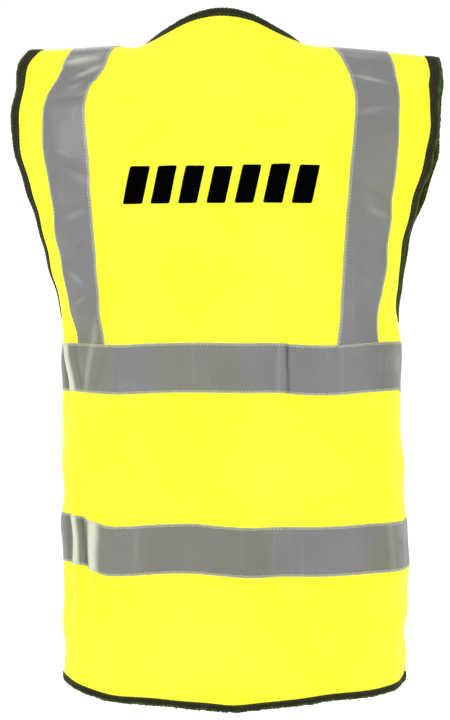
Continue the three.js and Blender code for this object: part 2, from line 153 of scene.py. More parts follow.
def curve_through(points, place):
    at, value = np.array(points, float).T
    slope = np.gradient(value)
    slope[1:-1] = (value[2:] - value[:-2]) / (at[2:] - at[:-2])
    slope[0] = (value[1] - value[0]) / (at[1] - at[0])
    slope[-1] = (value[-1] - value[-2]) / (at[-1] - at[-2])
    place = np.asarray(place, float)
    i = np.clip(np.searchsorted(at, place, side="right") - 1, 0, len(at) - 2)
    span = at[i + 1] - at[i]
    s = (place - at[i]) / span
    rise = value[i + 1] - value[i]
    bend_in = slope[i] * span - rise
    bend_out = rise - slope[i + 1] * span
    return value[i] + s * rise + s * (1 - s) * (bend_in * (1 - s) + bend_out * s)


def shoulder_angle(v):
    return np.clip((v - CHEST_HEIGHT) / SHOULDER_RUN, 0, 1) * QUARTER


def level(v):
    return np.minimum(v, CHEST_HEIGHT) + (SHOULDER_HEIGHT - CHEST_HEIGHT) * np.sin(shoulder_angle(v))


def cloth_half_width(v):
    return curve_through(HALF_WIDTHS, level(v))


def form_half_width(v):
    share = np.clip((level(v) - ARMHOLE_BOTTOM) / (SHOULDER_HEIGHT - ARMHOLE_BOTTOM), 0, 1)
    return cloth_half_width(v) + DELTOID_ROOM * np.sin(share * QUARTER) ** DELTOID_ROOM_POWER


def ridge_height(x):
    inside = np.maximum(0, 1 - (x / NECK_RISE_HALF_WIDTH) ** 2)
    return SHOULDER_HEIGHT + NECK_RISE * inside**NECK_RISE_POWER


def depth_share(v):
    over = SEAT_SHARE * (1 - (v - RIDGE) / SEAT_RUN)
    below = SEAT_SHARE + (1 - SEAT_SHARE) * np.cos(shoulder_angle(v))
    return np.where(v > RIDGE, over, below)


def form_point(side, t, v):
    x = form_half_width(v) * spow(np.sin(t * QUARTER), BODY_FULLNESS)
    depth = BODY_HALF_DEPTH * spow(np.cos(t * QUARTER), BODY_FULLNESS)
    z = np.minimum(v, CHEST_HEIGHT) + (ridge_height(x) - CHEST_HEIGHT) * np.sin(shoulder_angle(v))
    return np.stack([x, side * depth * depth_share(v), z], -1)


def turn_at(x, v):
    share = np.clip(x / form_half_width(v), -1, 1)
    return np.arcsin(spow(share, 1 / BODY_FULLNESS)) / QUARTER


def side_of(sheet):
    return 1 if sheet == "back" else -1


def hand_sign(hand):
    return 1 if hand == "left" else -1


def unit(a):
    return a / np.maximum(np.linalg.norm(a, axis=-1, keepdims=True), 1e-12)


T_STEP, V_STEP = 0.004, 0.5
SIDE_TURN = 0.99996  # the side seam, with a hair's gap between front and back


def normal_from(point_at, side, t, v):
    across = point_at(t + T_STEP, v) - point_at(t - T_STEP, v)
    up = point_at(t, v + V_STEP) - point_at(t, v - V_STEP)
    return unit(np.cross(up, across) * side), across / (2 * T_STEP), up / (2 * V_STEP)


def form_frame(sheet, t, v):
    """Outward normal of the bare form, and the steps for a unit of turn and of height."""
    side = side_of(sheet)
    return normal_from(lambda a, b: form_point(side, a, b), side, t, v)


def edge_turn(v):
    """Turn of the armhole's edge, or of the side seam below it."""
    return np.minimum(turn_at(cloth_half_width(v), v), SIDE_TURN)


def hem_height(x):
    return HEM_RISE * np.minimum(1, np.abs(x) / HEM_HALF_WIDTH) ** HEM_RISE_POWER


def height_at_depth(depth, x):
    share = depth / (BODY_HALF_DEPTH * np.cos(turn_at(x, RIDGE) * QUARTER) ** BODY_FULLNESS)
    near = RIDGE + SEAT_RUN * (1 - share / SEAT_SHARE)
    angle = np.arccos(np.clip((share - SEAT_SHARE) / (1 - SEAT_SHARE), -1, 1))
    return np.where(share < SEAT_SHARE, near, CHEST_HEIGHT + SHOULDER_RUN * angle / QUARTER)


def free_edge_x(v):
    share = np.clip((v - V_BOTTOM) / (SHOULDER_SEAM - V_BOTTOM), 0, 1)
    sweep = np.sin(share * QUARTER) ** V_BEND
    return -FRONT_OVERLAP + (NECK_HALF_WIDTH + FRONT_OVERLAP) * sweep


# ---- drape: how the cloth departs from the form ----

# girth flutes that grow towards the hem: how many go round, phase, share
FLUTES = [(7, 0.9, 0.45), (11, -1.1, 0.35), (17, 2.3, 0.2)]
FLUTE_DEPTH = 4.2
FLUTES_FROM = 430

# creases behind: x, lowest and highest z, half width, depth, slant in x per unit of z, centre z
BACK_CREASES = [
    (133, 95, 215, 7.0, 3.4, 0.02, 161),
    (146, 100, 235, 5.0, -3.4, 0.05, 161),
    (155, 90, 240, 4.5, 2.8, 0.03, 161),
    (165, 80, 230, 5.0, -2.8, 0.0, 161),
    (103, 290, 400, 6.0, 0.5, -0.02, 344),
    (124, 285, 420, 6.0, -1.1, -0.25, 344),
    (136, 285, 400, 5.0, 1.1, -0.16, 344),
    (149, 280, 400, 4.5, -1.6, 0.12, 344),
    (160, 290, 400, 4.0, 2.8, 0.14, 344),
    (-58, 296, 410, 5.0, 1.0, -0.03, 344),
    (-67, 300, 405, 3.2, -3.2, 0.02, 344),
    (-82, 290, 420, 8.5, -1.2, -0.03, 344),
    (111, 300, 392, 2.2, -0.6, 0.0, 344),
    (168, 300, 395, 3.0, -3.2, 0.08, 344),
    (146, 95, 230, 2.5, 1.2, -0.1, 161),
    (22, 100, 230, 16, -1.6, 0.0, 161),
    (-22, 90, 240, 18, 2.0, 0.05, 161),
    (-150, 90, 260, 7.0, -1.0, 0.04, 161),
    (-163, 60, 300, 5.0, 0.9, 0.02, 200),
]
# wrinkles across the braces near the shoulders: x, z, slope, half length, half width, depth
SHOULDER_WRINKLES = [
    (150, 668, 0.0, 34, 3.5, -1.1), (146, 660, -0.1, 30, 3.5, 1.3), (160, 651, 0.25, 22, 3, -0.8),
    (142, 646, -0.4, 17, 3, 1.2), (134, 636, -0.5, 13, 2.6, -1.2), (148, 631, -0.2, 26, 3.2, 1.2),
    (150, 652, 0.0, 40, 13, 0.9), (150, 619, -0.06, 34, 5, -1.4), (158, 560, 0.5, 18, 5, 1.3),
    (148, 545, 0.6, 18, 7, -1.5), (150, 500, -0.3, 18, 7, 1.0), (144, 470, -0.5, 14, 6, -1.2),
    (150, 436, 0.8, 12, 6, 1.1), (146, 412, -0.7, 12, 5, 1.0),
    (-134, 664, 0.05, 24, 2.8, 1.0), (-146, 652, 0.1, 26, 3, -1.0),
    (-146, 640, 0.12, 26, 2.6, 1.6), (-150, 629, 0.05, 26, 3, -0.8), (-150, 606, -0.3, 22, 6, 1.0),
    (-152, 520, 0.3, 22, 5, -1.3), (-156, 500, 0.35, 18, 7, 1.0), (-142, 470, 0.3, 14, 6, -1.0),
]
NECK_SHIFT = 9.5  # the collar hangs over towards the wearer's left
NECK_SHIFT_BEHIND = 5
# how far the cloth behind is drawn up, as [x, rise], at the hem, the two bands and the shoulder
RISES = [
    (0, 62, [(-182, -5), (-150, -1), (-113, 4.2), (-80, 4.6), (-42, 3), (-10, 0.8), (17, 2.5),
             (50, 3.6), (80, 3.4), (110, 0.5), (128, 0), (182, 0)]),
    (161, 95, [(-182, 0.2), (-150, 0.2), (-120, -1.2), (-95, -1.6), (-62, -1.2), (-30, -2.6),
               (0, -0.8), (30, 1.4), (65, 0.2), (95, -2.4), (118, -2.6), (132, 1.6), (150, 6.5),
               (182, 8.5)]),
    (344, 85, [(-182, 2.6), (-150, 0.6), (-110, -2.6), (-75, -1.6), (-60, 0.0), (-20, 0.0),
               (30, 0.4), (70, -0.6), (105, -2.0), (140, -0.5), (182, 1.5)]),
    (678, 70, [(-230, -17), (-190, -11.5), (-150, -6.5), (-110, -2.4), (-92, -2.4), (-75, -4.5),
               (-55, -3), (-30, 0), (30, 0), (55, -2.5), (75, -4.5), (98, -1), (112, 0.6), (182, -1)]),
]
# how far each side is drawn in towards the middle, as [z, shift]
DRAWN_IN = {
    1: [(-20, 0), (60, 1), (140, 3.5), (220, 2), (300, 0), (420, -1.5), (520, -1), (570, -2), (610, -3),
        (640, 1), (672, -3.5), (700, -6)],
    -1: [(-20, -4), (100, -4.5), (180, -2.4), (250, -0.5), (300, 1.5), (360, 0), (412, 5), (452, 8.5),
         (492, 8.5), (532, 6), (572, 6), (640, 5), (658, 0), (678, -7), (700, -9)],
}
RIPPLES = [(0.071, 0.043, 0.4), (-0.052, 0.081, 1.9), (0.113, -0.061, 3.1), (0.023, 0.127, 5.2)]
RIPPLE_DEPTH = 0.55
PUCKER_DEPTH = 0.38
PUCKER_PITCH = 11.5
PUCKER_REACH = 7


def back_crease(x, z, crease):
    x0, low, high, width, depth, slant, centre = crease
    window = smooth(z, low - 25, low + 25) * (1 - smooth(z, high - 25, high + 25))
    return depth * window * bump(x, x0 + slant * (z - centre), width)


def shoulder_wrinkle(x, z, wrinkle):
    x0, z0, slope, half_length, half_width, depth = wrinkle
    return depth * bump(x, x0, half_length) * bump(z, z0 + slope * (x - x0), half_width)


def crease_highlight_and_shade(p):
    """Painted highlight on the tape's ridges (up to 1) and painted shade in its valleys (to -1)."""
    x, y, z = p[..., 0], p[..., 1], p[..., 2]
    painted_crease_light = sum(back_crease(x, z, crease) * min(1, 5 / crease[3]) for crease in BACK_CREASES) / 3.0
    painted_crease_light = painted_crease_light * (0.8 + 0.2 * smooth(np.abs(x), 80, 112))
    painted_crease_light = painted_crease_light + sum(shoulder_wrinkle(x, z, wrinkle) for wrinkle in SHOULDER_WRINKLES) / 3.4
    return np.clip(painted_crease_light * smooth(y, -15, 25), -1, 1)


def drape(p):
    """How far the cloth stands off the form, is drawn up and is drawn sideways, at places on the form."""
    x, y, z = p[..., 0], p[..., 1], p[..., 2]
    behind = smooth(y, -15, 25)
    angle = np.arctan2(x / HEM_HALF_WIDTH, y / BODY_HALF_DEPTH)
    fall = 1 - smooth(z, 0, FLUTES_FROM)
    flutes = sum(share * np.cos(n * angle + phase) for n, phase, share in FLUTES)
    off = FLUTE_DEPTH * fall**1.4 * flutes * (1 - 0.5 * behind)
    for crease in BACK_CREASES:
        off = off + behind * back_crease(x, z, crease)
    for kx, kz, phase in RIPPLES:
        off = off + RIPPLE_DEPTH * np.sin(kx * x + kz * z + phase + 2 * np.sin(0.011 * z + 0.017 * y))
    for low, high in BANDS.values():
        for edge, out in ((low, -1), (high, 1)):
            past = (z - edge) * out
            near = smooth(past, -3, 1.5) * np.exp(-np.maximum(past, 0) / PUCKER_REACH)
            wave = np.sin(2 * math.pi * (angle * HEM_HALF_WIDTH) / PUCKER_PITCH + 2 * np.sin(0.05 * x + edge))
            off = off + PUCKER_DEPTH * near * wave
    off = off * (1 - smooth(z, 640, 700))
    for wrinkle in SHOULDER_WRINKLES:
        off = off + behind * shoulder_wrinkle(x, z, wrinkle) * (1 - smooth(z, 668, 676))
    rise = 1.3 * np.sin(x / 34 + 0.6) * (bump(z, 161, 110) - bump(z, 344, 90)) * (1 - behind)
    for height, reach, keys in RISES:
        share = 1 if height > CHEST_HEIGHT else behind
        lift = curve_through(keys, np.clip(x, keys[0][0], keys[-1][0]))
        rise = rise + lift * bump(z, height, reach) * share
    collar = NECK_SHIFT - NECK_SHIFT_BEHIND * np.clip(y / NECK_HALF_DEPTH, 0, 1)
    collar = collar * smooth(z, 640, 675) * (1 - smooth(np.abs(x), 110, 170)) * (1 - smooth(-y, 10, 100))
    z = np.clip(z, -20, 700)
    beside_armhole = smooth(z, 380, 430) * (x < 0)
    inward = np.where(x > 0, -curve_through(DRAWN_IN[1], z), curve_through(DRAWN_IN[-1], z))
    inward = inward * smooth(np.abs(x), 90 + 75 * beside_armhole, 180 + 14 * beside_armhole)
    return off, rise, inward + collar


def overlap_lift(x):
    return OVERLAP_LIFT * (1 - smooth(x, LIFT_FULL_X, LIFT_NONE_X))


def cloth(sheet, t, v):
    """Places on the draped form, before any layer's own height."""
    p = form_point(side_of(sheet), t, v)
    normal, _, _ = form_frame(sheet, t, v)
    off, rise, shift = drape(p)
    if sheet == "left":
        off = off + overlap_lift(p[..., 0])
    p = p + normal * off[..., None]
    p[..., 0] += shift
    p[..., 2] += rise
    return p


def cloth_frame(sheet, t, v):
    return normal_from(lambda a, b: cloth(sheet, a, b), side_of(sheet), t, v)


def over(sheet, t, v, height):
    normal, _, _ = cloth_frame(sheet, t, v)
    return cloth(sheet, t, v) + normal * np.asarray(height)[..., None]


# ---- meshes ----

GRAIN_LAYER = "cloth_mm"  # UV layer holding each place's way along and up the cloth


def add_object(name, data):
    thing = bpy.data.objects.new(name, data)
    bpy.context.scene.collection.objects.link(thing)
    return thing


def make_mesh(name, vertices, faces, uv=None, sharp_deg=50, painted_light_and_edge=None):
    mesh = bpy.data.meshes.new(name)
    mesh.from_pydata((np.asarray(vertices) * MM).tolist(), [], [tuple(f) for f in faces])
    mesh.validate()
    if uv is not None:
        layer = mesh.uv_layers.new(name=GRAIN_LAYER)
        loops = np.zeros(len(mesh.loops), np.int32)
        mesh.loops.foreach_get("vertex_index", loops)
        layer.data.foreach_set("uv", np.asarray(uv, np.float32)[loops].ravel())
    if painted_light_and_edge is not None:
        mesh.attributes.new("painted_light_and_edge", "FLOAT_VECTOR", "POINT").data.foreach_set("vector", painted_light_and_edge.ravel())
    mesh.shade_smooth()
    mesh.set_sharp_from_angle(angle=math.radians(sharp_deg))
    return add_object(name, mesh)


def grid_faces(rows, columns, first=0):
    i = np.arange(rows - 1)[:, None] * columns + np.arange(columns - 1)[None, :] + first
    i = i.ravel()
    return np.stack([i, i + 1, i + columns + 1, i + columns], -1)


def slab(name, outer, inner, uv, painted_light_and_edge=None):
    """A closed thin shell between two grids of places."""
    rows, columns = outer.shape[:2]
    count = rows * columns
    top = grid_faces(rows, columns)
    below = grid_faces(rows, columns, count)[:, ::-1]
    ring = np.concatenate([
        np.arange(columns), np.arange(1, rows) * columns + columns - 1,
        (rows - 1) * columns + np.arange(columns - 2, -1, -1), np.arange(rows - 2, 0, -1) * columns,
    ])
    after = np.roll(ring, -1)
    rim = np.stack([after, ring, ring + count, after + count], -1)
    faces = np.concatenate([top, below, rim])
    r, c = rows // 2, columns // 2
    turn = np.cross(outer[r, c] - outer[r, c - 1], outer[r, c] - outer[r - 1, c])
    if turn @ (outer[r, c] - inner[r, c]) < 0:
        faces = faces[:, ::-1]
    vertices = np.concatenate([outer.reshape(-1, 3), inner.reshape(-1, 3)])
    if painted_light_and_edge is not None:
        painted_light_and_edge = np.concatenate([painted_light_and_edge.reshape(-1, 3)] * 2)
    return make_mesh(name, vertices, faces, np.concatenate([uv.reshape(-1, 2)] * 2), 50, painted_light_and_edge)


def layer(name, sheet, t, v, low, high):
    """A slab of a sheet between two heights over the draped form."""
    outer = over(sheet, t, v, high)
    inner = over(sheet, t, v, low)
    return slab(name, outer, inner, metric_uv(outer, v))


def metric_uv(points, v):
    """Grain coordinates in millimetres: way round from the middle column, and girth height."""
    step = np.linalg.norm(np.diff(points, axis=1), axis=-1)
    way = np.concatenate([np.zeros((len(points), 1)), np.cumsum(step, 1)], 1)
    way = way - way[:, [points.shape[1] // 2]]
    return np.stack([way, v], -1)


def tube(name, rings, across, endless):
    """A solid swept through rings of places: endless, or with its two ends capped."""
    count, around = rings.shape[:2]
    i = np.arange(count if endless else count - 1)[:, None] * around
    onward = (i + around) % (count * around)
    k = np.arange(around)[None, :]
    after = (k + 1) % around
    faces = np.stack([i + k, i + after, onward + after, onward + k], -1).reshape(-1, 4).tolist()
    if not endless:
        faces.append(list(range(around - 1, -1, -1)))
        faces.append(list((count - 1) * around + np.arange(around)))
    centre = rings.mean(1)
    along = np.concatenate([[0], np.cumsum(np.linalg.norm(np.diff(centre, axis=0), axis=-1))])
    uv = np.stack(np.broadcast_arrays(along[:, None], across[None, :]), -1)
    piece = make_mesh(name, rings.reshape(-1, 3), faces, uv.reshape(-1, 2), 70)
    return face_out(piece)


def face_out(piece):
    """Turns every face outward, judged by the sign of the enclosed volume."""
    mesh = piece.data
    mesh.calc_loop_triangles()
    co = np.zeros(len(mesh.vertices) * 3)
    mesh.vertices.foreach_get("co", co)
    co = co.reshape(-1, 3)
    tri = np.zeros(len(mesh.loop_triangles) * 3, np.int32)
    mesh.loop_triangles.foreach_get("vertices", tri)
    a, b, c = (co[tri.reshape(-1, 3)[:, k]] for k in range(3))
    if np.einsum("ij,ij->i", a, np.cross(b, c)).sum() < 0:
        mesh.flip_normals()
    return piece


# ---- node materials ----


class Nodes:
    """Short ways to add shader nodes to one material."""

    def __init__(self, name):
        self.material = bpy.data.materials.new(name)
        self.material.use_nodes = True
        self.tree = self.material.node_tree
        self.tree.nodes.clear()

    def add(self, kind, inputs=None, **settings):
        node = self.tree.nodes.new(kind)
        for key, value in settings.items():
            setattr(node, key, value)
        for key, value in (inputs or {}).items():
            self.put(node.inputs[key], value)
        return node

    def put(self, socket, value):
        if isinstance(value, bpy.types.NodeSocket):
            self.tree.links.new(value, socket)
        elif isinstance(value, (tuple, list)) and len(value) == 3 and socket.type == "RGBA":
            socket.default_value = (*value, 1)
        else:
            socket.default_value = value

    def math(self, operation, a, b=0.0, c=0.0):
        node = self.add("ShaderNodeMath", {0: a, 1: b, 2: c}, operation=operation)
        return node.outputs[0]

    def mix(self, share, a, b, blend="MIX"):
        node = self.add("ShaderNodeMix", data_type="RGBA", blend_type=blend)
        self.put(node.inputs[0], share)
        self.put(node.inputs[6], a)
        self.put(node.inputs[7], b)
        return node.outputs[2]

    def noise(self, scale, detail=3.0, stretch=(1, 1, 1)):
        place = self.add("ShaderNodeTexCoord").outputs["Object"]
        place = self.add("ShaderNodeMapping", {"Vector": place, "Scale": stretch}).outputs[0]
        node = self.add("ShaderNodeTexNoise", {"Vector": place, "Scale": scale, "Detail": detail})
        return node.outputs[0]

    def band(self, value, low, high, to_low=0.0, to_high=1.0):
        inputs = {0: value, 1: low, 2: high, 3: to_low, 4: to_high}
        return self.add("ShaderNodeMapRange", inputs, interpolation_type="SMOOTHSTEP").outputs[0]

    def grain(self):
        """Grain coordinates in millimetres, along and up the cloth."""
        place = self.add("ShaderNodeUVMap", uv_map=GRAIN_LAYER).outputs[0]
        split = self.add("ShaderNodeSeparateXYZ", {0: place})
        return split.outputs[0], split.outputs[1]

    def wave(self, value, pitch, shift=0.0):
        turns = self.math("MULTIPLY_ADD", value, 2 * math.pi / pitch, shift)
        return self.math("MULTIPLY_ADD", self.math("SINE", turns), 0.5, 0.5)

    def bump(self, height, distance, strength=1.0, under=None):
        inputs = {"Height": height, "Distance": distance, "Strength": strength}
        if under is not None:
            inputs["Normal"] = under
        return self.add("ShaderNodeBump", inputs).outputs[0]

    def finish(self, shader):
        output = self.add("ShaderNodeOutputMaterial")
        self.tree.links.new(shader, output.inputs[0])
        return self.material

    def surface(self, inputs):
        return self.finish(self.add("ShaderNodeBsdfPrincipled", inputs).outputs[0])


def knit_material():
    n = Nodes("fluorescent_knit")
    u, v = n.grain()
    wale = n.wave(u, 1.15)
    course = n.wave(v, 0.95, n.math("MULTIPLY", wale, 1.6))
    loops = n.math("MULTIPLY", wale, course)
    cloudy = n.noise(9.0, 4.0)
    slub = n.noise(260.0, 2.0, (1, 1, 0.2))
    base = n.mix(n.band(cloudy, 0.3, 0.75), (0.96, 1.0, 0.032), (1.0, 0.99, 0.05))
    base = n.mix(n.math("MULTIPLY", loops, 0.10), base, (0.80, 0.86, 0.02))
    base = n.mix(n.band(slub, 0.55, 0.8, 0.0, 0.08), base, (1.0, 1.0, 0.16))
    # painted sheen: the yellow is paled where the cloth is seen at a grazing angle
    grazing_sheen = n.add("ShaderNodeFresnel", {"IOR": 1.25}).outputs[0]
    base = n.mix(n.band(grazing_sheen, 0.02, 0.45, 0.0, 0.5), base, (1.0, 1.0, 0.12))
    relief = n.bump(loops, 0.00012, 0.5, n.bump(n.noise(70.0, 3.0), 0.0006, 0.35))
    skin = n.add("ShaderNodeBsdfPrincipled", {
        "Base Color": base, "Roughness": n.band(cloudy, 0.3, 0.7, 0.78, 0.92), "Normal": relief,
        "Sheen Weight": 0.12, "Sheen Roughness": 0.5, "Sheen Tint": (1.0, 1.0, 0.5),
        "Specular IOR Level": 0.12,
        # emission: a painted glow, standing in for the knit's fluorescence and flattening its shading
        "Emission Color": (0.95, 1.0, 0.03), "Emission Strength": 0.07,
    })
    through = n.add("ShaderNodeBsdfTranslucent", {"Color": (0.95, 1.0, 0.05), "Normal": relief})
    both = n.add("ShaderNodeMixShader", {0: 0.16, 1: skin.outputs[0], 2: through.outputs[0]})
    return n.finish(both.outputs[0])


def tape_material():
    n = Nodes("reflective_tape")
    painted_light_and_edge = n.add("ShaderNodeAttribute", attribute_name="painted_light_and_edge").outputs["Vector"]
    painted_light_and_edge = n.add("ShaderNodeSeparateXYZ", {0: painted_light_and_edge})
    painted_crease_light, selvedge, olive_reflection = painted_light_and_edge.outputs
    # the film's random green tint, with a painted olive reflection of the yellow cloth at the band ends
    tint_and_reflection = n.math("MAXIMUM", n.band(n.noise(9.0, 2.0, (1, 1, 0.3)), 0.5, 0.62), olive_reflection)
    patch = n.noise(13.0, 3.0, (1, 1, 0.45))
    grime = n.noise(45.0, 4.0)
    beads = n.add("ShaderNodeTexVoronoi", {
        "Vector": n.add("ShaderNodeTexCoord").outputs["Object"], "Scale": 2600.0,
    }, feature="F1").outputs[0]
    base = n.mix(tint_and_reflection, (0.150, 0.150, 0.153), (0.150, 0.157, 0.116))
    base = n.mix(n.band(patch, 0.5, 0.72, 0.0, 0.5), base, (0.118, 0.120, 0.110))
    base = n.mix(n.band(grime, 0.35, 0.75, 0.0, 0.2), base, (0.120, 0.122, 0.116))
    # fine lighter specks: the beads' grain, and a painted sparkle
    base = n.mix(n.band(n.noise(900.0, 1.0), 0.45, 0.8, 0.0, 0.18), base, (0.30, 0.30, 0.30))
    # painted highlights: faint lighter vertical streaks, standing in for light on fine creases
    streak = n.noise(120.0, 2.0, (1, 1, 0.04))
    base = n.mix(n.band(streak, 0.6, 0.85, 0.0, 0.2), base, (0.30, 0.31, 0.26))
    # painted highlight on crease ridges (cream) and painted shade in crease valleys (dark olive)
    base = n.mix(n.band(painted_crease_light, 0.12, 0.9, 0.0, 0.95), base, (0.60, 0.61, 0.49))
    base = n.mix(n.band(painted_crease_light, -0.12, -0.9, 0.0, 0.85), base, (0.075, 0.077, 0.050))
    base = n.mix(n.math("MULTIPLY", selvedge, 0.5), base, (0.50, 0.50, 0.36))
    relief = n.bump(beads, 0.00005, 0.5, n.bump(n.noise(38.0, 3.0, (1, 1, 0.35)), 0.0016, 0.4))
    return n.surface({
        "Base Color": base, "Metallic": 0.12, "Roughness": n.band(grime, 0.3, 0.7, 0.36, 0.5),
        "Specular IOR Level": 0.5, "Normal": relief, "Coat Weight": 0.08, "Coat Roughness": 0.3,
    })


def binding_material():
    n = Nodes("woven_binding")
    along, across = n.grain()
    rib = n.wave(along, 1.05)
    cord = n.wave(across, 1.3, n.math("MULTIPLY", rib, 2.0))
    weave = n.math("MULTIPLY", rib, cord)
    worn = n.noise(120.0, 4.0)
    rolled = n.math("MULTIPLY", n.band(across, 7.4, 9.2), n.band(across, 14.4, 13.2))
    base = n.mix(n.band(worn, 0.3, 0.7), (0.0125, 0.0125, 0.0065), (0.022, 0.021, 0.011))
    base = n.mix(n.math("MULTIPLY", weave, 0.35), base, (0.042, 0.042, 0.022))
    # painted highlight: the binding's rolled edge is paled to olive where its fold catches the light
    edge = n.mix(n.band(worn, 0.35, 0.65), (0.030, 0.048, 0.010), (0.070, 0.110, 0.020))
    edge = n.mix(n.band(n.noise(700.0, 2.0), 0.5, 0.7, 0.0, 0.7), edge, (0.014, 0.018, 0.006))
    base = n.mix(n.math("MULTIPLY", rolled, 0.85), base, edge)
    # painted sheen: the binding is paled towards olive at grazing angles
    pile_and_sheen = n.add("ShaderNodeFresnel", {"IOR": 1.3}).outputs[0]
    base = n.mix(n.band(pile_and_sheen, 0.05, 0.6, 0.0, 0.3), base, (0.050, 0.065, 0.020))
    return n.surface({
        "Base Color": base, "Roughness": 0.9, "Specular IOR Level": 0.08, "Sheen Weight": 0.08,
        "Sheen Roughness": 0.45, "Sheen Tint": (0.45, 0.55, 0.2), "Normal": n.bump(weave, 0.0002, 0.8),
    })


def print_material():
    n = Nodes("transfer_print")
    speck = n.noise(420.0, 4.0)
    base = n.mix(n.band(speck, 0.45, 0.8), (0.0006, 0.0005, 0.0004), (0.0022, 0.002, 0.0016))
    u, v = n.grain()
    knit = n.math("MULTIPLY", n.wave(u, 1.15), n.wave(v, 0.95))
    return n.surface({
        "Base Color": base, "Roughness": n.band(speck, 0.3, 0.7, 0.72, 0.9), "Specular IOR Level": 0.0,
        "Normal": n.bump(knit, 0.00008, 0.5, n.bump(speck, 0.0001, 0.5)),
    })


def fastener_material(name, pile_and_sheen):
    n = Nodes(name)
    u, v = n.grain()
    row = n.math("MULTIPLY", n.wave(u, 1.5), n.wave(v, 1.5))
    tuft = n.noise(900.0, 3.0)
    base = n.mix(n.band(tuft, 0.3, 0.75), (0.62, 0.66, 0.03), (0.93, 0.97, 0.12))
    base = n.mix(n.math("MULTIPLY", row, 0.25), base, (1.0, 1.0, 0.4))
    relief = n.bump(row, 0.0005 * (1 - pile_and_sheen), 0.9, n.bump(tuft, 0.0006 * pile_and_sheen + 0.0001, 0.9))
    return n.surface({
        "Base Color": base, "Roughness": 0.9, "Normal": relief, "Sheen Weight": 0.5 * pile_and_sheen,
        # emission: a painted glow of the yellow tape
        "Emission Color": (0.9, 0.95, 0.05), "Emission Strength": 0.06, "Specular IOR Level": 0.3,
    })


def label_material():
    n = Nodes("satin_label")
    u, v = n.grain()
    weave = n.math("MULTIPLY", n.wave(u, 0.5), n.wave(v, 0.35))
    soft = n.noise(60.0, 3.0)
    base = n.mix(n.band(soft, 0.3, 0.75), (0.80, 0.80, 0.77), (0.90, 0.90, 0.88))
    return n.surface({
        "Base Color": base, "Roughness": 0.42, "Anisotropic": 0.5, "Normal": n.bump(weave, 0.00005, 0.6),
        "Specular IOR Level": 0.5,
    })


def thread_material(name, dark, light):
    n = Nodes(name)
    twist = n.noise(1500.0, 2.0, (1, 1, 0.3))
    base = n.mix(n.band(twist, 0.3, 0.7), dark, light)
    return n.surface({
        "Base Color": base, "Roughness": 0.6, "Sheen Weight": 0.2, "Normal": n.bump(twist, 0.0001, 0.7),
    })


KNIT = knit_material()
TAPE = tape_material()
BINDING = binding_material()
PRINT = print_material()
LOOP = fastener_material("loop_tape", 1.0)
HOOK = fastener_material("hook_tape", 0.0)
LABEL = label_material()
PALE_THREAD = thread_material("pale_thread", (0.46, 0.48, 0.28), (0.68, 0.70, 0.48))
YELLOW_THREAD = thread_material("yellow_thread", (0.70, 0.76, 0.04), (0.95, 1.0, 0.12))
DARK_THREAD = thread_material("dark_thread", (0.015, 0.018, 0.008), (0.06, 0.065, 0.03))


# ---- riding with the CAD bodies ----

# the joint of each front's flap, under left or right
FOLDS = {}
for joint in frame["joints"]:
    if joint["child"] in ("left_flap", "right_flap"):
        FOLDS[joint["child"].split("_")[0]] = joint


def place_piece(piece, sheet, material, slot_name, *stands_for):
    """Gives a piece its finish and its CAD body, or bakes it in place if it lies on a front."""
    piece.data.materials.append(material)
    if sheet in FOLDS:
        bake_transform(piece)
    else:
        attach(piece, "torso")
    if stands_for:
        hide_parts(*stands_for)


# ---- the cloth ----

BACK_NECK_COLUMNS = 50
BACK_SIDE_COLUMNS = 60
FRONT_COLUMNS = 84
TORSO_ROWS = 84
ARMHOLE_ROWS = {"back": 74, "left": 110, "right": 110}
UNDERARM_EASE = 0.15
SEAM_TUCK = 0.7
SEAM_TUCK_REACH = 1.4


def row_share(sheet):
    """Rows from hem to shoulder, closer together where the armhole turns round the underarm."""
    low = hem_height(HEM_HALF_WIDTH)
    torso = low + (ARMHOLE_BOTTOM - low) * np.arange(TORSO_ROWS) / TORSO_ROWS
    s = np.arange(ARMHOLE_ROWS[sheet] + 1) / ARMHOLE_ROWS[sheet]
    arm = ARMHOLE_BOTTOM + (PANEL_TOP - ARMHOLE_BOTTOM) * (1 + UNDERARM_EASE) * s * s / (s + UNDERARM_EASE)
    heights = np.concatenate([torso, arm])
    return (heights - low) / (PANEL_TOP - low)


def seam_tuck(v, distance):
    """The cloth turns in a little along the side seam, below the armhole."""
    below = 1 - smooth(v, ARMHOLE_BOTTOM - 6, ARMHOLE_BOTTOM + 2)
    return -SEAM_TUCK * np.exp(-distance / SEAM_TUCK_REACH) * below


def cloth_sheet(name, sheet, t, v, edge_distance):
    tuck = seam_tuck(v, edge_distance)
    return layer(name, sheet, t, v, CLOTH_IN + tuck, CLOTH_OUT + tuck)


def hem_at(side, turn_of):
    v = 0.0
    for _ in range(8):
        v = hem_height(form_point(side, turn_of(v), v)[..., 0])
    return v


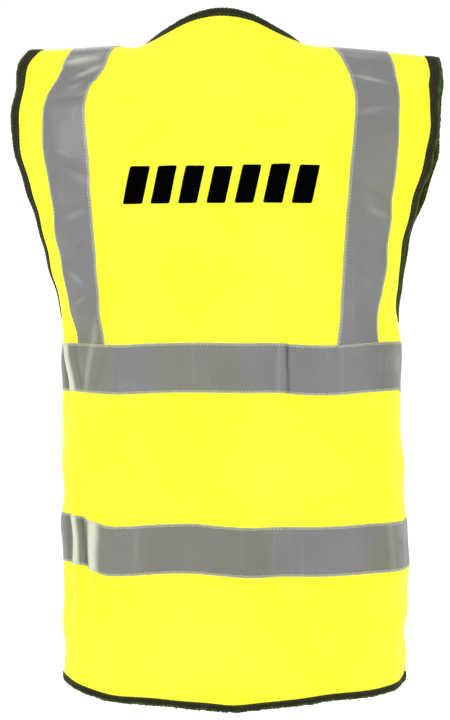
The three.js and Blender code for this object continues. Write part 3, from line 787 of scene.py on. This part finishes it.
def build_back():
    angle = (2 * np.arange(BACK_NECK_COLUMNS + 1) / BACK_NECK_COLUMNS - 1) * QUARTER
    x = NECK_HALF_WIDTH * np.sin(angle)
    top = np.minimum(PANEL_TOP, height_at_depth(NECK_HALF_DEPTH * np.cos(angle), x))
    neck_share = turn_at(x, top) / edge_turn(top)
    s = np.arange(1, BACK_SIDE_COLUMNS + 1) / BACK_SIDE_COLUMNS
    outside = neck_share[-1] + (1 - neck_share[-1]) * (1 - (1 - s) ** 1.25)
    share = np.concatenate([-outside[::-1], neck_share, outside])
    top = np.concatenate([np.full(BACK_SIDE_COLUMNS, PANEL_TOP), top, np.full(BACK_SIDE_COLUMNS, PANEL_TOP)])
    low = hem_at(1, lambda v: share * edge_turn(v))
    rows = row_share("back")[:, None]
    v = low + (top - low) * rows
    t = share * edge_turn(v)
    flat = form_point(1, t, v)
    edge = form_point(1, edge_turn(v) * np.sign(t + 1e-9), v)
    piece = cloth_sheet("back_cloth", "back", t, v, np.linalg.norm(flat - edge, axis=-1))
    place_piece(piece, "back", KNIT, "yellow_knit", "back_panel")


def front_turns(sheet, share, v):
    """Turn at a share of a front's width, from its free edge to the side seam."""
    free = turn_at(free_edge_x(v), v)
    return hand_sign(sheet) * (free + (edge_turn(v) - free) * share)


def build_front(sheet):
    s = np.arange(FRONT_COLUMNS + 1) / FRONT_COLUMNS
    share = 1 - (1 - s) ** 1.15
    low = hem_at(-1, lambda v: front_turns(sheet, share, v))
    v = low + (PANEL_TOP - low) * row_share(sheet)[:, None]
    t = front_turns(sheet, share, v)
    flat = form_point(-1, t, v)
    edge = form_point(-1, edge_turn(v) * np.sign(front_turns(sheet, 1.0, v)), v)
    piece = cloth_sheet(f"{sheet}_front_cloth", sheet, t, v, np.linalg.norm(flat - edge, axis=-1))
    place_piece(piece, sheet, KNIT, "yellow_knit", f"{sheet}_front_panel", f"{sheet}_flap_panel")


# ---- reflective tape ----

TAPE_EDGE_ROLL = 0.12
WAIST_HALF_WIDTH = 178  # of the form near the upper band, to make a turn into millimetres
BAND_START_IN = 10.2  # from a front's free edge
BAND_STITCH_START_IN = 10.5
BAND_STITCH_IN = 2.2  # from the band's own edges
BRACE_STITCH_SHARE = 0.91  # of half the brace's width
BRACE_START_UP = 6  # above the upper band's low edge
# where the tape shows a painted olive reflection of the yellow cloth, as [from, to]: out to each side, and up
REFLECTION_LEFT, REFLECTION_RIGHT, REFLECTION_UP = (108, 114), (140, 165), (385, 430)
REFLECTION_RIGHT_SHARE = 0.7


def brace_half_turn(sheet, centre, v):
    _, across, _ = form_frame(sheet, centre, v)
    return BRACE_WIDTH / 2 / np.linalg.norm(across, axis=-1)


def brace_cover(sheet, t, v):
    """1 where a brace lies under a band, 0 beside it."""
    centre = np.where(t > 0, brace_centre(sheet, "left", v), brace_centre(sheet, "right", v))
    half = brace_half_turn(sheet, centre, v)
    past = (np.abs(np.abs(t) - centre) - half) * WAIST_HALF_WIDTH * QUARTER
    return (1 - smooth(past, 0.5, 4.5)) * smooth(v, BANDS["upper"][0] + 2, BANDS["upper"][0] + 7)


def tape_base(which, sheet, t, v):
    """Height of a band's underside, raised where the upper band covers the end of a brace."""
    base = np.full(t.shape, TAPE_IN)
    if which == "upper":
        base = base + BRACE_LIFT * brace_cover(sheet, t, v)
    return base


def tape_sheet(name, sheet, t, v, base, edge_distance):
    """A strip of tape; its attribute holds painted crease shading, edge nearness and painted olive
    reflection.
    """
    outer = over(sheet, t, v, base + TAPE_THICK)
    inner = over(sheet, t, v, base)
    place = form_point(side_of(sheet), t, v)
    # painted highlight on ridges and painted shade in valleys, from the creases and wrinkles
    painted_crease_light = crease_highlight_and_shade(place)
    x = place[..., 0]
    # painted olive reflection of the yellow cloth, near the ends of the bands
    olive_reflection = np.maximum(smooth(x, *REFLECTION_LEFT), REFLECTION_RIGHT_SHARE * smooth(-x, *REFLECTION_RIGHT))
    olive_reflection = olive_reflection * (1 - smooth(v, *REFLECTION_UP))
    painted_light_and_edge = np.stack([painted_crease_light, 1 - smooth(edge_distance + 0 * t, 0.7, 2.0), olive_reflection], -1)
    for grid_edge in (np.s_[0, :], np.s_[-1, :], np.s_[:, 0], np.s_[:, -1]):
        outer[grid_edge] += (inner[grid_edge] - outer[grid_edge]) * TAPE_EDGE_ROLL / TAPE_THICK
    return slab(name, outer, inner, metric_uv(outer, v), painted_light_and_edge)


# shares of a tape's width at which its grid has lines, closer together at the edges
TAPE_LINES = np.array([0, 0.01, 0.02, 0.034, 0.05, 0.08, 0.14, 0.22, 0.3, 0.38, 0.46])
TAPE_LINES = np.concatenate([TAPE_LINES, 1 - TAPE_LINES[::-1]])


def build_bands():
    for which, (low, high) in BANDS.items():
        v = low + (high - low) * TAPE_LINES[:, None]
        edge_distance = np.minimum(v - low, high - v)
        share = np.linspace(-1, 1, 221)[None, :]
        t = share * edge_turn(v)
        base = tape_base(which, "back", t, v)
        piece = tape_sheet(f"{which}_band_behind", "back", t, v + 0 * t, base, edge_distance)
        place_piece(piece, "back", TAPE, "silver_tape", f"{which}_band_back")
        for sheet in ("left", "right"):
            share = np.linspace(0, 1, 101)[None, :]
            free = turn_at(free_edge_x(v) + BAND_START_IN, v)
            t = hand_sign(sheet) * (free + (edge_turn(v) - free) * share)
            base = tape_base(which, sheet, t, v)
            piece = tape_sheet(f"{sheet}_{which}_band_front", sheet, t, v + 0 * t, base, edge_distance)
            place_piece(piece, sheet, TAPE, "silver_tape",
                        f"{sheet}_{which}_band", f"{sheet}_flap_{which}_band")


def brace_centre(sheet, hand, v):
    slip = curve_through(BRACE_SLIPS.get((sheet, hand), [(300, 0), (763, 0)]), v)
    return turn_at(curve_through(BRACE_CENTRES, v) + slip, v)


def brace_grid(sheet, hand, share, v):
    """Turns across a brace, for shares from -1 at its inner edge to 1 at its outer edge."""
    centre = brace_centre(sheet, hand, v)
    if (sheet, hand) == ("back", "left"):
        share = share - (share + 1) * curve_through(LEFT_BRACE_TUCK, v) / BRACE_WIDTH
    return hand_sign(hand) * (centre + share * brace_half_turn(sheet, centre, v))


def build_braces():
    share = 2 * TAPE_LINES[None, :] - 1
    edge_distance = BRACE_WIDTH * np.minimum(TAPE_LINES, 1 - TAPE_LINES)[None, :]
    v = np.linspace(BANDS["upper"][0] + BRACE_START_UP, PANEL_TOP, 150)[:, None]
    for hand in ("left", "right"):
        for place, sheet in (("back", "back"), ("front", hand)):
            t = brace_grid(sheet, hand, share, v)
            base = np.full(t.shape, TAPE_IN)
            piece = tape_sheet(f"{hand}_brace_{place}_tape", sheet, t, v + 0 * t, base, edge_distance)
            place_piece(piece, "torso", TAPE, "silver_tape", f"{hand}_{place}_brace")


# ---- edge bindings ----

# section of the folded binding: distance in from the cloth's edge, and height over the form
BINDING_SECTION = np.array([
    (9.0, 1.3), (8.8, 1.75), (8.1, 2.0), (7.2, 1.78), (6.3, 2.05), (4.2, 2.2), (2.0, 2.2), (0.3, 2.05),
    (-0.7, 1.6), (-1.15, 0.9), (-1.1, 0.2), (-0.6, -0.45), (0.4, -0.85), (3.0, -1.0), (6.3, -0.95),
    (7.2, -0.7), (8.2, -0.85), (9.0, -0.3), (8.8, 0.02), (3.0, 0.0), (-0.1, 0.1), (-0.4, 0.6),
    (-0.1, 1.1), (3.0, 1.2), (8.8, 1.2),
])
# way round the section to each of its corners
SECTION_WAY = np.concatenate([[0], np.cumsum(np.linalg.norm(np.diff(BINDING_SECTION, axis=0), axis=-1))])
SECTION_MIDDLE = 0.6  # height of the cloth's own middle, which the section wraps
STATION_STEP = 1.3
RIB_PITCH = 3.9
RIB_DEPTH = 0.13
EDGE_FRAY = 0.45
BINDING_WIDTH = 9
BINDING_STITCH_IN = 7.2
# how much wider than its section a binding is, how much fuller its rolled edge, and how far its
# turned-in ends swell
BINDING_FULLNESS = {
    "left_armhole": (1.3, 2.2, 0), "right_armhole": (1.25, 2.4, 0), "hem_behind": (0.7, 1.2, 0.3),
    "neck": (1.0, 1.7, 0), "left_hem": (0.7, 1.2, 0.5), "right_hem": (0.7, 1.2, 0.5),
}
PLAIN_FULLNESS = (1.0, 1.0, 0)
END_SWELL_REACH = 5


def spaced(sheets, t, v):
    """Picks stations an even step apart from a dense run of places."""
    points = np.concatenate([form_point(side_of(s), a, b)[None] for s, a, b in zip(sheets, t, v)])
    way = np.concatenate([[0], np.cumsum(np.linalg.norm(np.diff(points, axis=0), axis=-1))])
    count = int(way[-1] / STATION_STEP)
    return np.unique(np.searchsorted(way, np.linspace(0, way[-1], count + 1)).clip(0, len(way) - 1))


def edge_run(parts):
    """Joins runs of (sheet, t, v) into evenly spaced stations."""
    sheets = np.concatenate([[name] * len(np.atleast_1d(t)) for name, t, _ in parts])
    t = np.concatenate([np.atleast_1d(a) for _, a, _ in parts])
    v = np.concatenate([np.atleast_1d(b) for _, _, b in parts])
    keep = spaced(sheets, t, v)
    return sheets[keep], t[keep], v[keep]


def by_sheet(sheets, work):
    """Runs work(sheet, mask) for each sheet of a run and gathers the results."""
    found = None
    for sheet in dict.fromkeys(sheets):
        mask = sheets == sheet
        part = work(sheet, mask)
        found = np.zeros((len(sheets),) + part.shape[1:]) if found is None else found
        found[mask] = part
    return found


def is_endless(sheets):
    """Only an armhole's run goes right round, over one front and the back."""
    return len(set(sheets)) > 1


def inward_of(sheets, t, v, hand):
    """Direction into the cloth at each station, hand 1 if the cloth lies to the left of the run."""
    places = by_sheet(sheets, lambda s, m: form_point(side_of(s), t[m], v[m]))
    if is_endless(sheets):
        along = unit(np.roll(places, -1, axis=0) - np.roll(places, 1, axis=0))
    else:
        along = unit(np.gradient(places, axis=0))
    normal = by_sheet(sheets, lambda s, m: form_frame(s, t[m], v[m])[0])
    return unit(np.cross(normal, along)) * hand


def rates_along(sheet, t, v, way):
    """Turn and girth height gained for each millimetre in a direction on the form."""
    _, across, up = form_frame(sheet, t, v)
    aa, au, uu = (across * across).sum(-1), (across * up).sum(-1), (up * up).sum(-1)
    wa, wu = (way * across).sum(-1), (way * up).sum(-1)
    det = aa * uu - au * au
    return (wa * uu - wu * au) / det, (wu * aa - wa * au) / det


def binding_rings(sheets, t, v, hand, seed, fullness):
    width, roll, swell = fullness
    inward = inward_of(sheets, t, v, hand)
    count = len(t)
    rng = np.random.RandomState(seed)
    drift = np.convolve(rng.normal(0, 1, count + 24), np.hanning(25) / 12.5, "valid")[:count]
    way = np.arange(count) * STATION_STEP
    rib = np.sin(2 * math.pi * way / RIB_PITCH + 2.5 * drift)
    inner_edge = 0.35 * rib + 0.5 * drift
    reach = BINDING_SECTION[None, :, 0]
    reach = np.where(reach > 0, reach * width, reach * roll)
    end = np.minimum(way, way[-1] - way) / END_SWELL_REACH
    swelling = 1 + swell * np.exp(-(end[:, None] ** 2))
    away = np.clip(reach / BINDING_WIDTH, 0, 1) ** 2
    reach = reach + away * inner_edge[:, None]
    fray = np.convolve(rng.normal(0, 1, count + 4), np.hanning(5) / 2, "valid")[:count]
    rolled = BINDING_SECTION[None, :, 0] < 0.5
    reach = reach - EDGE_FRAY * rolled * np.clip(fray + 0.6 * rib, -1.5, 1.5)[:, None]
    puff = np.sign(BINDING_SECTION[None, :, 1] - SECTION_MIDDLE) * RIB_DEPTH * rib[:, None]
    solid = (np.abs(BINDING_SECTION[None, :, 1] - SECTION_MIDDLE) > 0.8) * 1.0
    height = BINDING_SECTION[None, :, 1] + puff * solid
    reach = reach * swelling
    height = SECTION_MIDDLE + (height - SECTION_MIDDLE) * np.where(solid > 0, swelling, 1)

    def ring(sheet, mask):
        turn, rise = rates_along(sheet, t[mask], v[mask], inward[mask])
        ta = t[mask][:, None] + reach[mask] * turn[:, None]
        va = v[mask][:, None] + reach[mask] * rise[:, None]
        return over(sheet, ta, va, height[mask])

    return by_sheet(sheets, ring)


def binding(name, parts, hand, seed, sheet, *stands_for):
    sheets, t, v = edge_run(parts)
    rings = binding_rings(sheets, t, v, hand, seed, BINDING_FULLNESS.get(name, PLAIN_FULLNESS))
    piece = tube(f"{name}_edge_binding", rings, SECTION_WAY, is_endless(sheets))
    place_piece(piece, sheet, BINDING, "dark_binding", *stands_for)
    return sheets, t, v


DENSE = 3000  # places along an edge, from which the even stations are picked
FRONT_EDGE_END = 9.5  # the front edge's binding stops above the hem's


def armhole_run(hand):
    sign = hand_sign(hand)
    s = np.linspace(0, 1, DENSE) ** 2
    up = ARMHOLE_BOTTOM + 0.02 + (SHOULDER_SEAM - ARMHOLE_BOTTOM - 0.02) * s
    front = (hand, sign * edge_turn(up), up)
    down = up[::-1][1:]
    return [front, ("back", sign * edge_turn(down), down)]


def neck_run():
    angle = np.linspace(-1, 1, DENSE) * QUARTER
    x = NECK_HALF_WIDTH * np.sin(angle)
    v = np.minimum(SHOULDER_SEAM, height_at_depth(NECK_HALF_DEPTH * np.cos(angle), x))
    return [("back", turn_at(x, v), v)]


def front_edge_run(hand):
    """From the shoulder seam down the V and the straight edge to the hem."""
    v = np.linspace(SHOULDER_SEAM, FRONT_EDGE_END, DENSE)
    return [(hand, hand_sign(hand) * turn_at(free_edge_x(v), v), v)]


def hem_run(sheet):
    if sheet == "back":
        share = np.linspace(1, -1, DENSE)
        v = hem_at(1, lambda h: share * edge_turn(h))
        return [(sheet, share * edge_turn(v), v)]
    share = np.linspace(0, 1, DENSE)
    v = hem_at(-1, lambda h: front_turns(sheet, share, h))
    return [(sheet, front_turns(sheet, share, v), v)]


def build_bindings():
    runs = {
        "neck": (neck_run(), 1, "back", ["neck_binding"]),
        "hem_behind": (hem_run("back"), 1, "back", ["hem_binding_back"]),
    }
    for hand, turn in (("left", 1), ("right", -1)):
        runs[f"{hand}_armhole"] = (armhole_run(hand), turn, "torso", [f"{hand}_armhole_binding"])
        runs[f"{hand}_front_edge"] = (front_edge_run(hand), turn, hand, [f"{hand}_front_edge_binding"])
        runs[f"{hand}_hem"] = (
            hem_run(hand), turn, hand, [f"{hand}_hem_binding", f"{hand}_flap_hem_binding"],
        )
    stations = {}
    for seed, (name, (parts, hand, sheet, nodes)) in enumerate(runs.items()):
        stations[name] = binding(name, parts, hand, seed, sheet, *nodes), hand, sheet
    return stations


# ---- print ----

PRINT_CORNER = 1.6
PRINT_SLANT_RUN, PRINT_SLANT_RISE = 8, 37
PRINT_ROWS = np.array([0, 0.012, 0.045, 0.12, 0.25, 0.4, 0.6, 0.75, 0.88, 0.955, 0.988, 1])


def build_print():
    for n in range(1, 8):
        node = f"print_bar_{n}"
        low, high = node_box(node)
        height = high[2] - low[2]
        slant = PRINT_SLANT_RUN * height / PRINT_SLANT_RISE
        width = high[0] - low[0] - slant
        rise = PRINT_ROWS
        near = np.minimum(rise, 1 - rise) * height
        short = np.maximum(0, PRINT_CORNER - near)
        pull = PRINT_CORNER - np.sqrt(np.maximum(0, PRINT_CORNER**2 - short**2))
        share = np.linspace(-1, 1, 9)[None, :]
        half = width / 2 - pull[:, None]
        x = (low[0] + width / 2 + slant * (1 - rise[:, None])) + share * half
        z = low[2] + height * rise[:, None] + 0 * x
        sine = (z - CHEST_HEIGHT) / (ridge_height(x) - CHEST_HEIGHT)
        above = CHEST_HEIGHT + SHOULDER_RUN * np.arcsin(np.clip(sine, 0, 1)) / QUARTER
        v = np.where(z < CHEST_HEIGHT, z, above)
        piece = layer(f"printed_bar_{n}", "back", turn_at(x, v), v, PRINT_IN, PRINT_OUT)
        place_piece(piece, "back", PRINT, "black_print", node)


# ---- hook and loop ----

NAP_DEPTH = 0.35
NAP_EDGE_DROP = 0.25
LOOP_SINK = 0.05


def build_fasteners():
    rng = np.random.RandomState(5)
    for which, (low, high) in FASTENERS.items():
        for sheet, kind in (("left", "hook"), ("right", "loop")):
            columns, rows = 31, int((high - low) / 1.0)
            v = np.linspace(low, high, rows)[:, None] + np.zeros((1, columns))
            x = np.linspace(-FASTENER_HALF_WIDTH, FASTENER_HALF_WIDTH, columns)[None, :]
            t = hand_sign(sheet) * turn_at(x, v)
            nap = rng.uniform(0, NAP_DEPTH, v.shape)
            nap[[0, -1], :] = nap[:, [0, -1]] = -NAP_EDGE_DROP
            low_side, high_side = CLOTH_IN - FASTENER_THICK - nap, CLOTH_IN
            if kind == "loop":
                low_side, high_side = TAPE_IN - LOOP_SINK, TAPE_IN + FASTENER_THICK + nap
            piece = layer(f"{kind}_pad_{which}", sheet, t, v, low_side, high_side)
            piece.data.materials.append(LOOP if kind == "loop" else HOOK)
            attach(piece, f"{sheet}_flap")
            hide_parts(f"{kind}_strip_{which}")


# ---- care label ----

LABEL_SHEET = 0.3
LABEL_DOWN_ROWS, LABEL_TURN_ROWS, LABEL_UP_ROWS = 46, 5, 40
LABEL_END_UP = 1.2
LABEL_FOLD_HEIGHT = 0.9
LABEL_CURL = 0.9
LABEL_CURL_REACH = 60
LABEL_ROW_STEP = 1.4
LABEL_BOW = 1.6


def build_label():
    low, high = node_box("care_label")
    depth = (low[1] + high[1]) / 2
    x = np.linspace(low[0], high[0], 25)
    top_v = height_at_depth(depth, x)
    roof = over("back", turn_at(x, top_v), top_v, np.full(x.shape, 0.0))[:, 2]
    down, turn, up = LABEL_DOWN_ROWS, LABEL_TURN_ROWS, LABEL_UP_ROWS
    drop = np.concatenate([np.linspace(0, 1, down), np.ones(turn), np.linspace(1, 0.1, up)])
    roll = np.concatenate([np.zeros(down), np.linspace(0, math.pi, turn), np.full(up, math.pi)])
    z = roof[None, :] + (low[2] + LABEL_END_UP - roof[None, :]) * drop[:, None]
    z = z - LABEL_FOLD_HEIGHT * np.sin(roll)[:, None]
    bow = LABEL_BOW * np.sin(np.clip((high[2] - z) / (high[2] - low[2]), 0, 1) * math.pi)
    across = np.cos(x / (high[0] - low[0]) * math.pi)[None, :]
    curl = LABEL_CURL * across * np.clip((high[2] - z) / LABEL_CURL_REACH, 0, 1)
    y = depth + bow + curl - LABEL_FOLD_HEIGHT * (1 - np.cos(roll))[:, None] / 2
    middle = np.stack([np.broadcast_to(x, z.shape), y, z], -1)
    middle[..., 0] += drape(middle[0])[2]
    normal = unit(np.cross(np.gradient(middle, axis=1), np.gradient(middle, axis=0)))
    outer, inner = middle + normal * LABEL_SHEET / 2, middle - normal * LABEL_SHEET / 2
    way = np.arange(len(drop))[:, None] * LABEL_ROW_STEP
    uv = np.stack(np.broadcast_arrays(x, way), -1)
    piece = slab("sewn_care_label", outer, inner, uv)
    piece.data.materials.append(LABEL)
    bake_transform(piece)
    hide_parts("care_label")


# ---- stitching ----

STITCH_LENGTH = 2.5
STITCH_PITCH = 3.3
STITCH_RADIUS = 0.26
STITCH_LIFT = 0.12
STITCH_SINK = 0.1
STITCH_OVER_BINDING = 1.82
STITCH_UNDER_BINDING = -0.72
FASTENER_STITCH_IN = 1.6
FASTENER_STITCH_X = 8.6


def stitches(name, runs, sheet, material, slot_name):
    """Thread lying on the cloth: runs of (places, outward normals), one slim spindle per stitch."""
    vertices, faces = [], []
    ring = np.array([(1, 0), (0, 1), (-1, 0), (0, -1)])
    spindle = [(0, 1 + k, 1 + (k + 1) % 4) for k in range(4)]
    spindle += [(1 + k, 5 + k, 5 + (k + 1) % 4, 1 + (k + 1) % 4) for k in range(4)]
    spindle += [(9, 5 + (k + 1) % 4, 5 + k) for k in range(4)]
    for places, normals in runs:
        way = np.concatenate([[0], np.cumsum(np.linalg.norm(np.diff(places, axis=0), axis=-1))])
        starts = np.arange(1.0, way[-1] - STITCH_LENGTH, STITCH_PITCH)
        if not len(starts):
            continue
        at = np.stack([starts + STITCH_LENGTH * s for s in (0, 0.22, 0.78, 1)], 1)
        p = np.stack([np.interp(at, way, places[:, k]) for k in range(3)], -1)
        n = unit(np.stack([np.interp(at, way, normals[:, k]) for k in range(3)], -1))
        side = unit(np.cross(n, unit(p[:, 3:] - p[:, :1])))
        mid = []
        for j in (1, 2):
            round_thread = ring[None, :, :1] * side[:, j, None] + ring[None, :, 1:] * n[:, j, None]
            mid.append(p[:, j, None] + STITCH_RADIUS * round_thread + STITCH_LIFT * n[:, j, None])
        first = sum(len(a) for a in vertices)
        tips = p - STITCH_SINK * n
        block = np.concatenate([tips[:, :1], *mid, tips[:, 3:]], 1)
        vertices.append(block.reshape(-1, 3))
        for i in range(len(starts)):
            faces.extend([[first + 10 * i + k for k in f] for f in spindle])
    piece = make_mesh(name, np.concatenate(vertices), faces, None, 80)
    place_piece(face_out(piece), sheet, material, slot_name)


def run_on(sheet, t, v, height):
    normal, _, _ = cloth_frame(sheet, t, v)
    return cloth(sheet, t, v) + normal * np.asarray(height)[..., None], normal


def both_faces(sheet, t, v, height):
    """Runs of sewing on the tape outside and on the cloth inside."""
    places, normals = run_on(sheet, t, v, CLOTH_IN)
    return [run_on(sheet, t, v, height), (places, -normals)]


def tape_rows(sheet, turns):
    """Sewing along both edges of each band, on one sheet."""
    runs = []
    for which, (low, high) in BANDS.items():
        for v0 in (low + BAND_STITCH_IN, high - BAND_STITCH_IN):
            t = turns(v0)
            v = np.full(t.shape, v0)
            runs += both_faces(sheet, t, v, tape_base(which, sheet, t, v) + TAPE_THICK)
    return runs


def brace_rows(sheet, hand):
    runs = []
    v = np.linspace(BANDS["upper"][1] + 1, PANEL_TOP - 1, 400)
    for share in (-BRACE_STITCH_SHARE, BRACE_STITCH_SHARE):
        runs += both_faces(sheet, brace_grid(sheet, hand, share, v), v, TAPE_IN + TAPE_THICK)
    return runs


def binding_rows(name, stations, hand):
    """One row of stitches near the inner edge of a binding, on both faces."""
    sheets, t, v = stations
    stitch_in = BINDING_STITCH_IN * BINDING_FULLNESS.get(name, PLAIN_FULLNESS)[0]
    inward = inward_of(sheets, t, v, hand)

    def line(height):
        def work(sheet, mask):
            turn, rise = rates_along(sheet, t[mask], v[mask], inward[mask])
            at = run_on(sheet, t[mask] + stitch_in * turn, v[mask] + stitch_in * rise, height)
            return np.concatenate(at, -1)

        found = by_sheet(sheets, work)
        return found[:, :3], found[:, 3:]

    outside, inside = line(STITCH_OVER_BINDING), line(STITCH_UNDER_BINDING)
    return [outside, (inside[0], -inside[1])]


def build_stitching(stations):
    share = np.linspace(-0.997, 0.997, 900)
    back = tape_rows("back", lambda v0: share * edge_turn(v0))
    stitches("band_stitching_behind", back, "back", PALE_THREAD, "silver_tape")
    braces = []
    for hand in ("left", "right"):
        braces += brace_rows("back", hand) + brace_rows(hand, hand)
    stitches("brace_stitching", braces, "torso", PALE_THREAD, "silver_tape")
    half = np.linspace(0.004, 0.996, 600)
    for hand in ("left", "right"):
        def turns(v0):
            free = turn_at(free_edge_x(v0) + BAND_STITCH_START_IN, v0)
            return hand_sign(hand) * (free + (edge_turn(v0) - free) * half)

        stitches(f"{hand}_band_stitching_front", tape_rows(hand, turns), hand, PALE_THREAD, "silver_tape")
    for name, (run, hand, sheet) in stations.items():
        stitches(f"{name}_edge_stitching", binding_rows(name, run, hand), sheet, DARK_THREAD, "dark_binding")
    for hand, kind in (("left", "hook"), ("right", "loop")):
        runs = []
        for low, high in FASTENERS.values():
            bottom, top = low + FASTENER_STITCH_IN, high - FASTENER_STITCH_IN
            wide = FASTENER_STITCH_X
            box = [(-wide, bottom), (wide, bottom), (wide, top), (-wide, top), (-wide, bottom)]
            for (x0, v0), (x1, v1) in zip(box[:-1], box[1:]):
                s = np.linspace(0, 1, 60)
                x, v = x0 + (x1 - x0) * s, v0 + (v1 - v0) * s
                height = CLOTH_OUT if hand == "left" else TAPE_IN + FASTENER_THICK + 0.1
                runs.append(run_on(hand, hand_sign(hand) * turn_at(x, v), v, height))
        stitches(f"{kind}_stitching", runs, hand, YELLOW_THREAD, "yellow_fastener")


# ---- seams inside ----

ALLOWANCE_WIDTH = 9
OVERLOCK_POINTS = 1400
OVERLOCK_ZIG = 0.0035
OVERLOCK_IN = -0.95


def build_seams():
    """Overlocked seam allowances inside, turned towards the back."""
    for hand, sign in (("left", 1), ("right", -1)):
        v = np.linspace(30, ARMHOLE_BOTTOM - 10, 120)[:, None]
        reach = np.linspace(0, ALLOWANCE_WIDTH, 7)[None, :] / (BODY_HALF_DEPTH * 1.05)
        t = sign * (SIDE_TURN - 0.9 * reach * smooth(reach, -0.02, 0.02))
        v = v + 0 * t
        wave = 0.35 * np.sin(v / 5.5) * reach * 10
        piece = layer(f"{hand}_side_allowance", "back", t, v, CLOTH_IN - 1.0 - wave, CLOTH_IN - 0.08 - wave)
        place_piece(piece, "torso", KNIT, "yellow_knit")
        edge = t[:, -1]
        rows = np.linspace(0, len(edge) - 1, OVERLOCK_POINTS).astype(int)
        zig = OVERLOCK_ZIG * sign * (np.arange(OVERLOCK_POINTS) % 2)
        up = v[rows, 0] + np.linspace(0, 2.9, OVERLOCK_POINTS)
        place, normal = run_on("back", edge[rows] + zig, up, OVERLOCK_IN)
        stitches(f"{hand}_side_overlock", [(place, -normal)], "torso", YELLOW_THREAD, "yellow_knit")


build_back()
build_front("left")
build_front("right")
build_bands()
build_braces()
binding_stations = build_bindings()
build_print()
build_fasteners()
build_label()
build_stitching(binding_stations)
build_seams()


# ---- studio ----

CAMERA_DISTANCE = 2.5  # from the cloth across the shoulder blades
CAMERA_TURN = math.radians(5.5)
CAMERA_HEIGHT = 0.352
FRAME_HEIGHT = 0.72
SENSOR = 36.0
WORLD_LIGHT = 0.84
WORLD_LEAN = (0.12, 0.0, 0.26)
WORLD_SEEN = 1.1
FRAME_SHIFT = -7 / 720  # sideways, as a share of the picture's height
FLOOR_HALF = 30.0
FLOOR_Z = -0.75


def build_camera():
    data = bpy.data.cameras.new("camera")
    camera = add_object("camera", data)
    back_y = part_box("back_panel")[1][1]
    distance = CAMERA_DISTANCE + back_y
    data.sensor_width = SENSOR
    data.lens = SENSOR / 2 / (FRAME_HEIGHT / 2 / CAMERA_DISTANCE)
    x, y = -math.sin(CAMERA_TURN) * distance, math.cos(CAMERA_TURN) * distance
    camera.location = (x, y, CAMERA_HEIGHT)
    camera.rotation_euler = (QUARTER, 0, math.pi + CAMERA_TURN)
    data.shift_x = FRAME_SHIFT
    bpy.context.scene.camera = camera


def build_stage():
    n = Nodes("pale_floor")
    speck = n.noise(6.0, 3.0)
    base = n.mix(n.band(speck, 0.3, 0.7), (0.93, 0.93, 0.93), (0.96, 0.96, 0.96))
    material = n.surface({
        "Base Color": base, "Roughness": 0.9, "Specular IOR Level": 0.1,
        "Emission Color": (1, 1, 1), "Emission Strength": 0.3,
    })
    mesh = bpy.data.meshes.new("floor")
    corners = [(x * FLOOR_HALF, y * FLOOR_HALF, FLOOR_Z) for x, y in ((-1, -1), (1, -1), (1, 1), (-1, 1))]
    mesh.from_pydata(corners, [], [(0, 1, 2, 3)])
    mesh.materials.append(material)
    add_object("floor", mesh)


def build_light(name, place, target, size, power):
    data = bpy.data.lights.new(name, "AREA")
    data.shape = "RECTANGLE"
    data.size, data.size_y = size
    data.energy = power
    light = add_object(name, data)
    direction = np.array(target) - np.array(place)
    light.location = place
    yaw = math.atan2(-direction[0], direction[1])
    tilt = math.atan2(math.hypot(direction[0], direction[1]), -direction[2])
    light.rotation_euler = (tilt, 0, yaw)


def build_world():
    """Soft light from all round, a little stronger from above and from the wearer's left."""
    world = bpy.data.worlds.new("studio")
    world.use_nodes = True
    tree = world.node_tree
    background = tree.nodes["Background"]
    background.inputs[0].default_value = (1, 1, 1, 1)
    direction = tree.nodes.new("ShaderNodeTexCoord").outputs["Generated"]
    lean = tree.nodes.new("ShaderNodeVectorMath")
    lean.operation = "DOT_PRODUCT"
    lean.inputs[1].default_value = WORLD_LEAN
    tree.links.new(direction, lean.inputs[0])
    light = tree.nodes.new("ShaderNodeMath")
    light.inputs[1].default_value = WORLD_LIGHT
    tree.links.new(lean.outputs["Value"], light.inputs[0])
    seen = tree.nodes.new("ShaderNodeLightPath").outputs["Is Camera Ray"]
    strength = tree.nodes.new("ShaderNodeMapRange")
    tree.links.new(seen, strength.inputs[0])
    tree.links.new(light.outputs[0], strength.inputs[3])
    strength.inputs[4].default_value = WORLD_SEEN
    tree.links.new(strength.outputs[0], background.inputs[1])
    bpy.context.scene.world = world


build_camera()
build_stage()
build_world()
middle = (0, 0, 0.4)
build_light("key", (1.6, 2.4, 2.0), middle, (1.6, 1.6), 30)
build_light("fill", (-2.4, 1.8, 1.2), middle, (2.0, 2.0), 16)
build_light("front_fill", (1.0, -2.6, 1.6), middle, (2.2, 2.2), 26)
scene = bpy.context.scene
scene.view_settings.view_transform = "Standard"
scene.view_settings.look = "None"
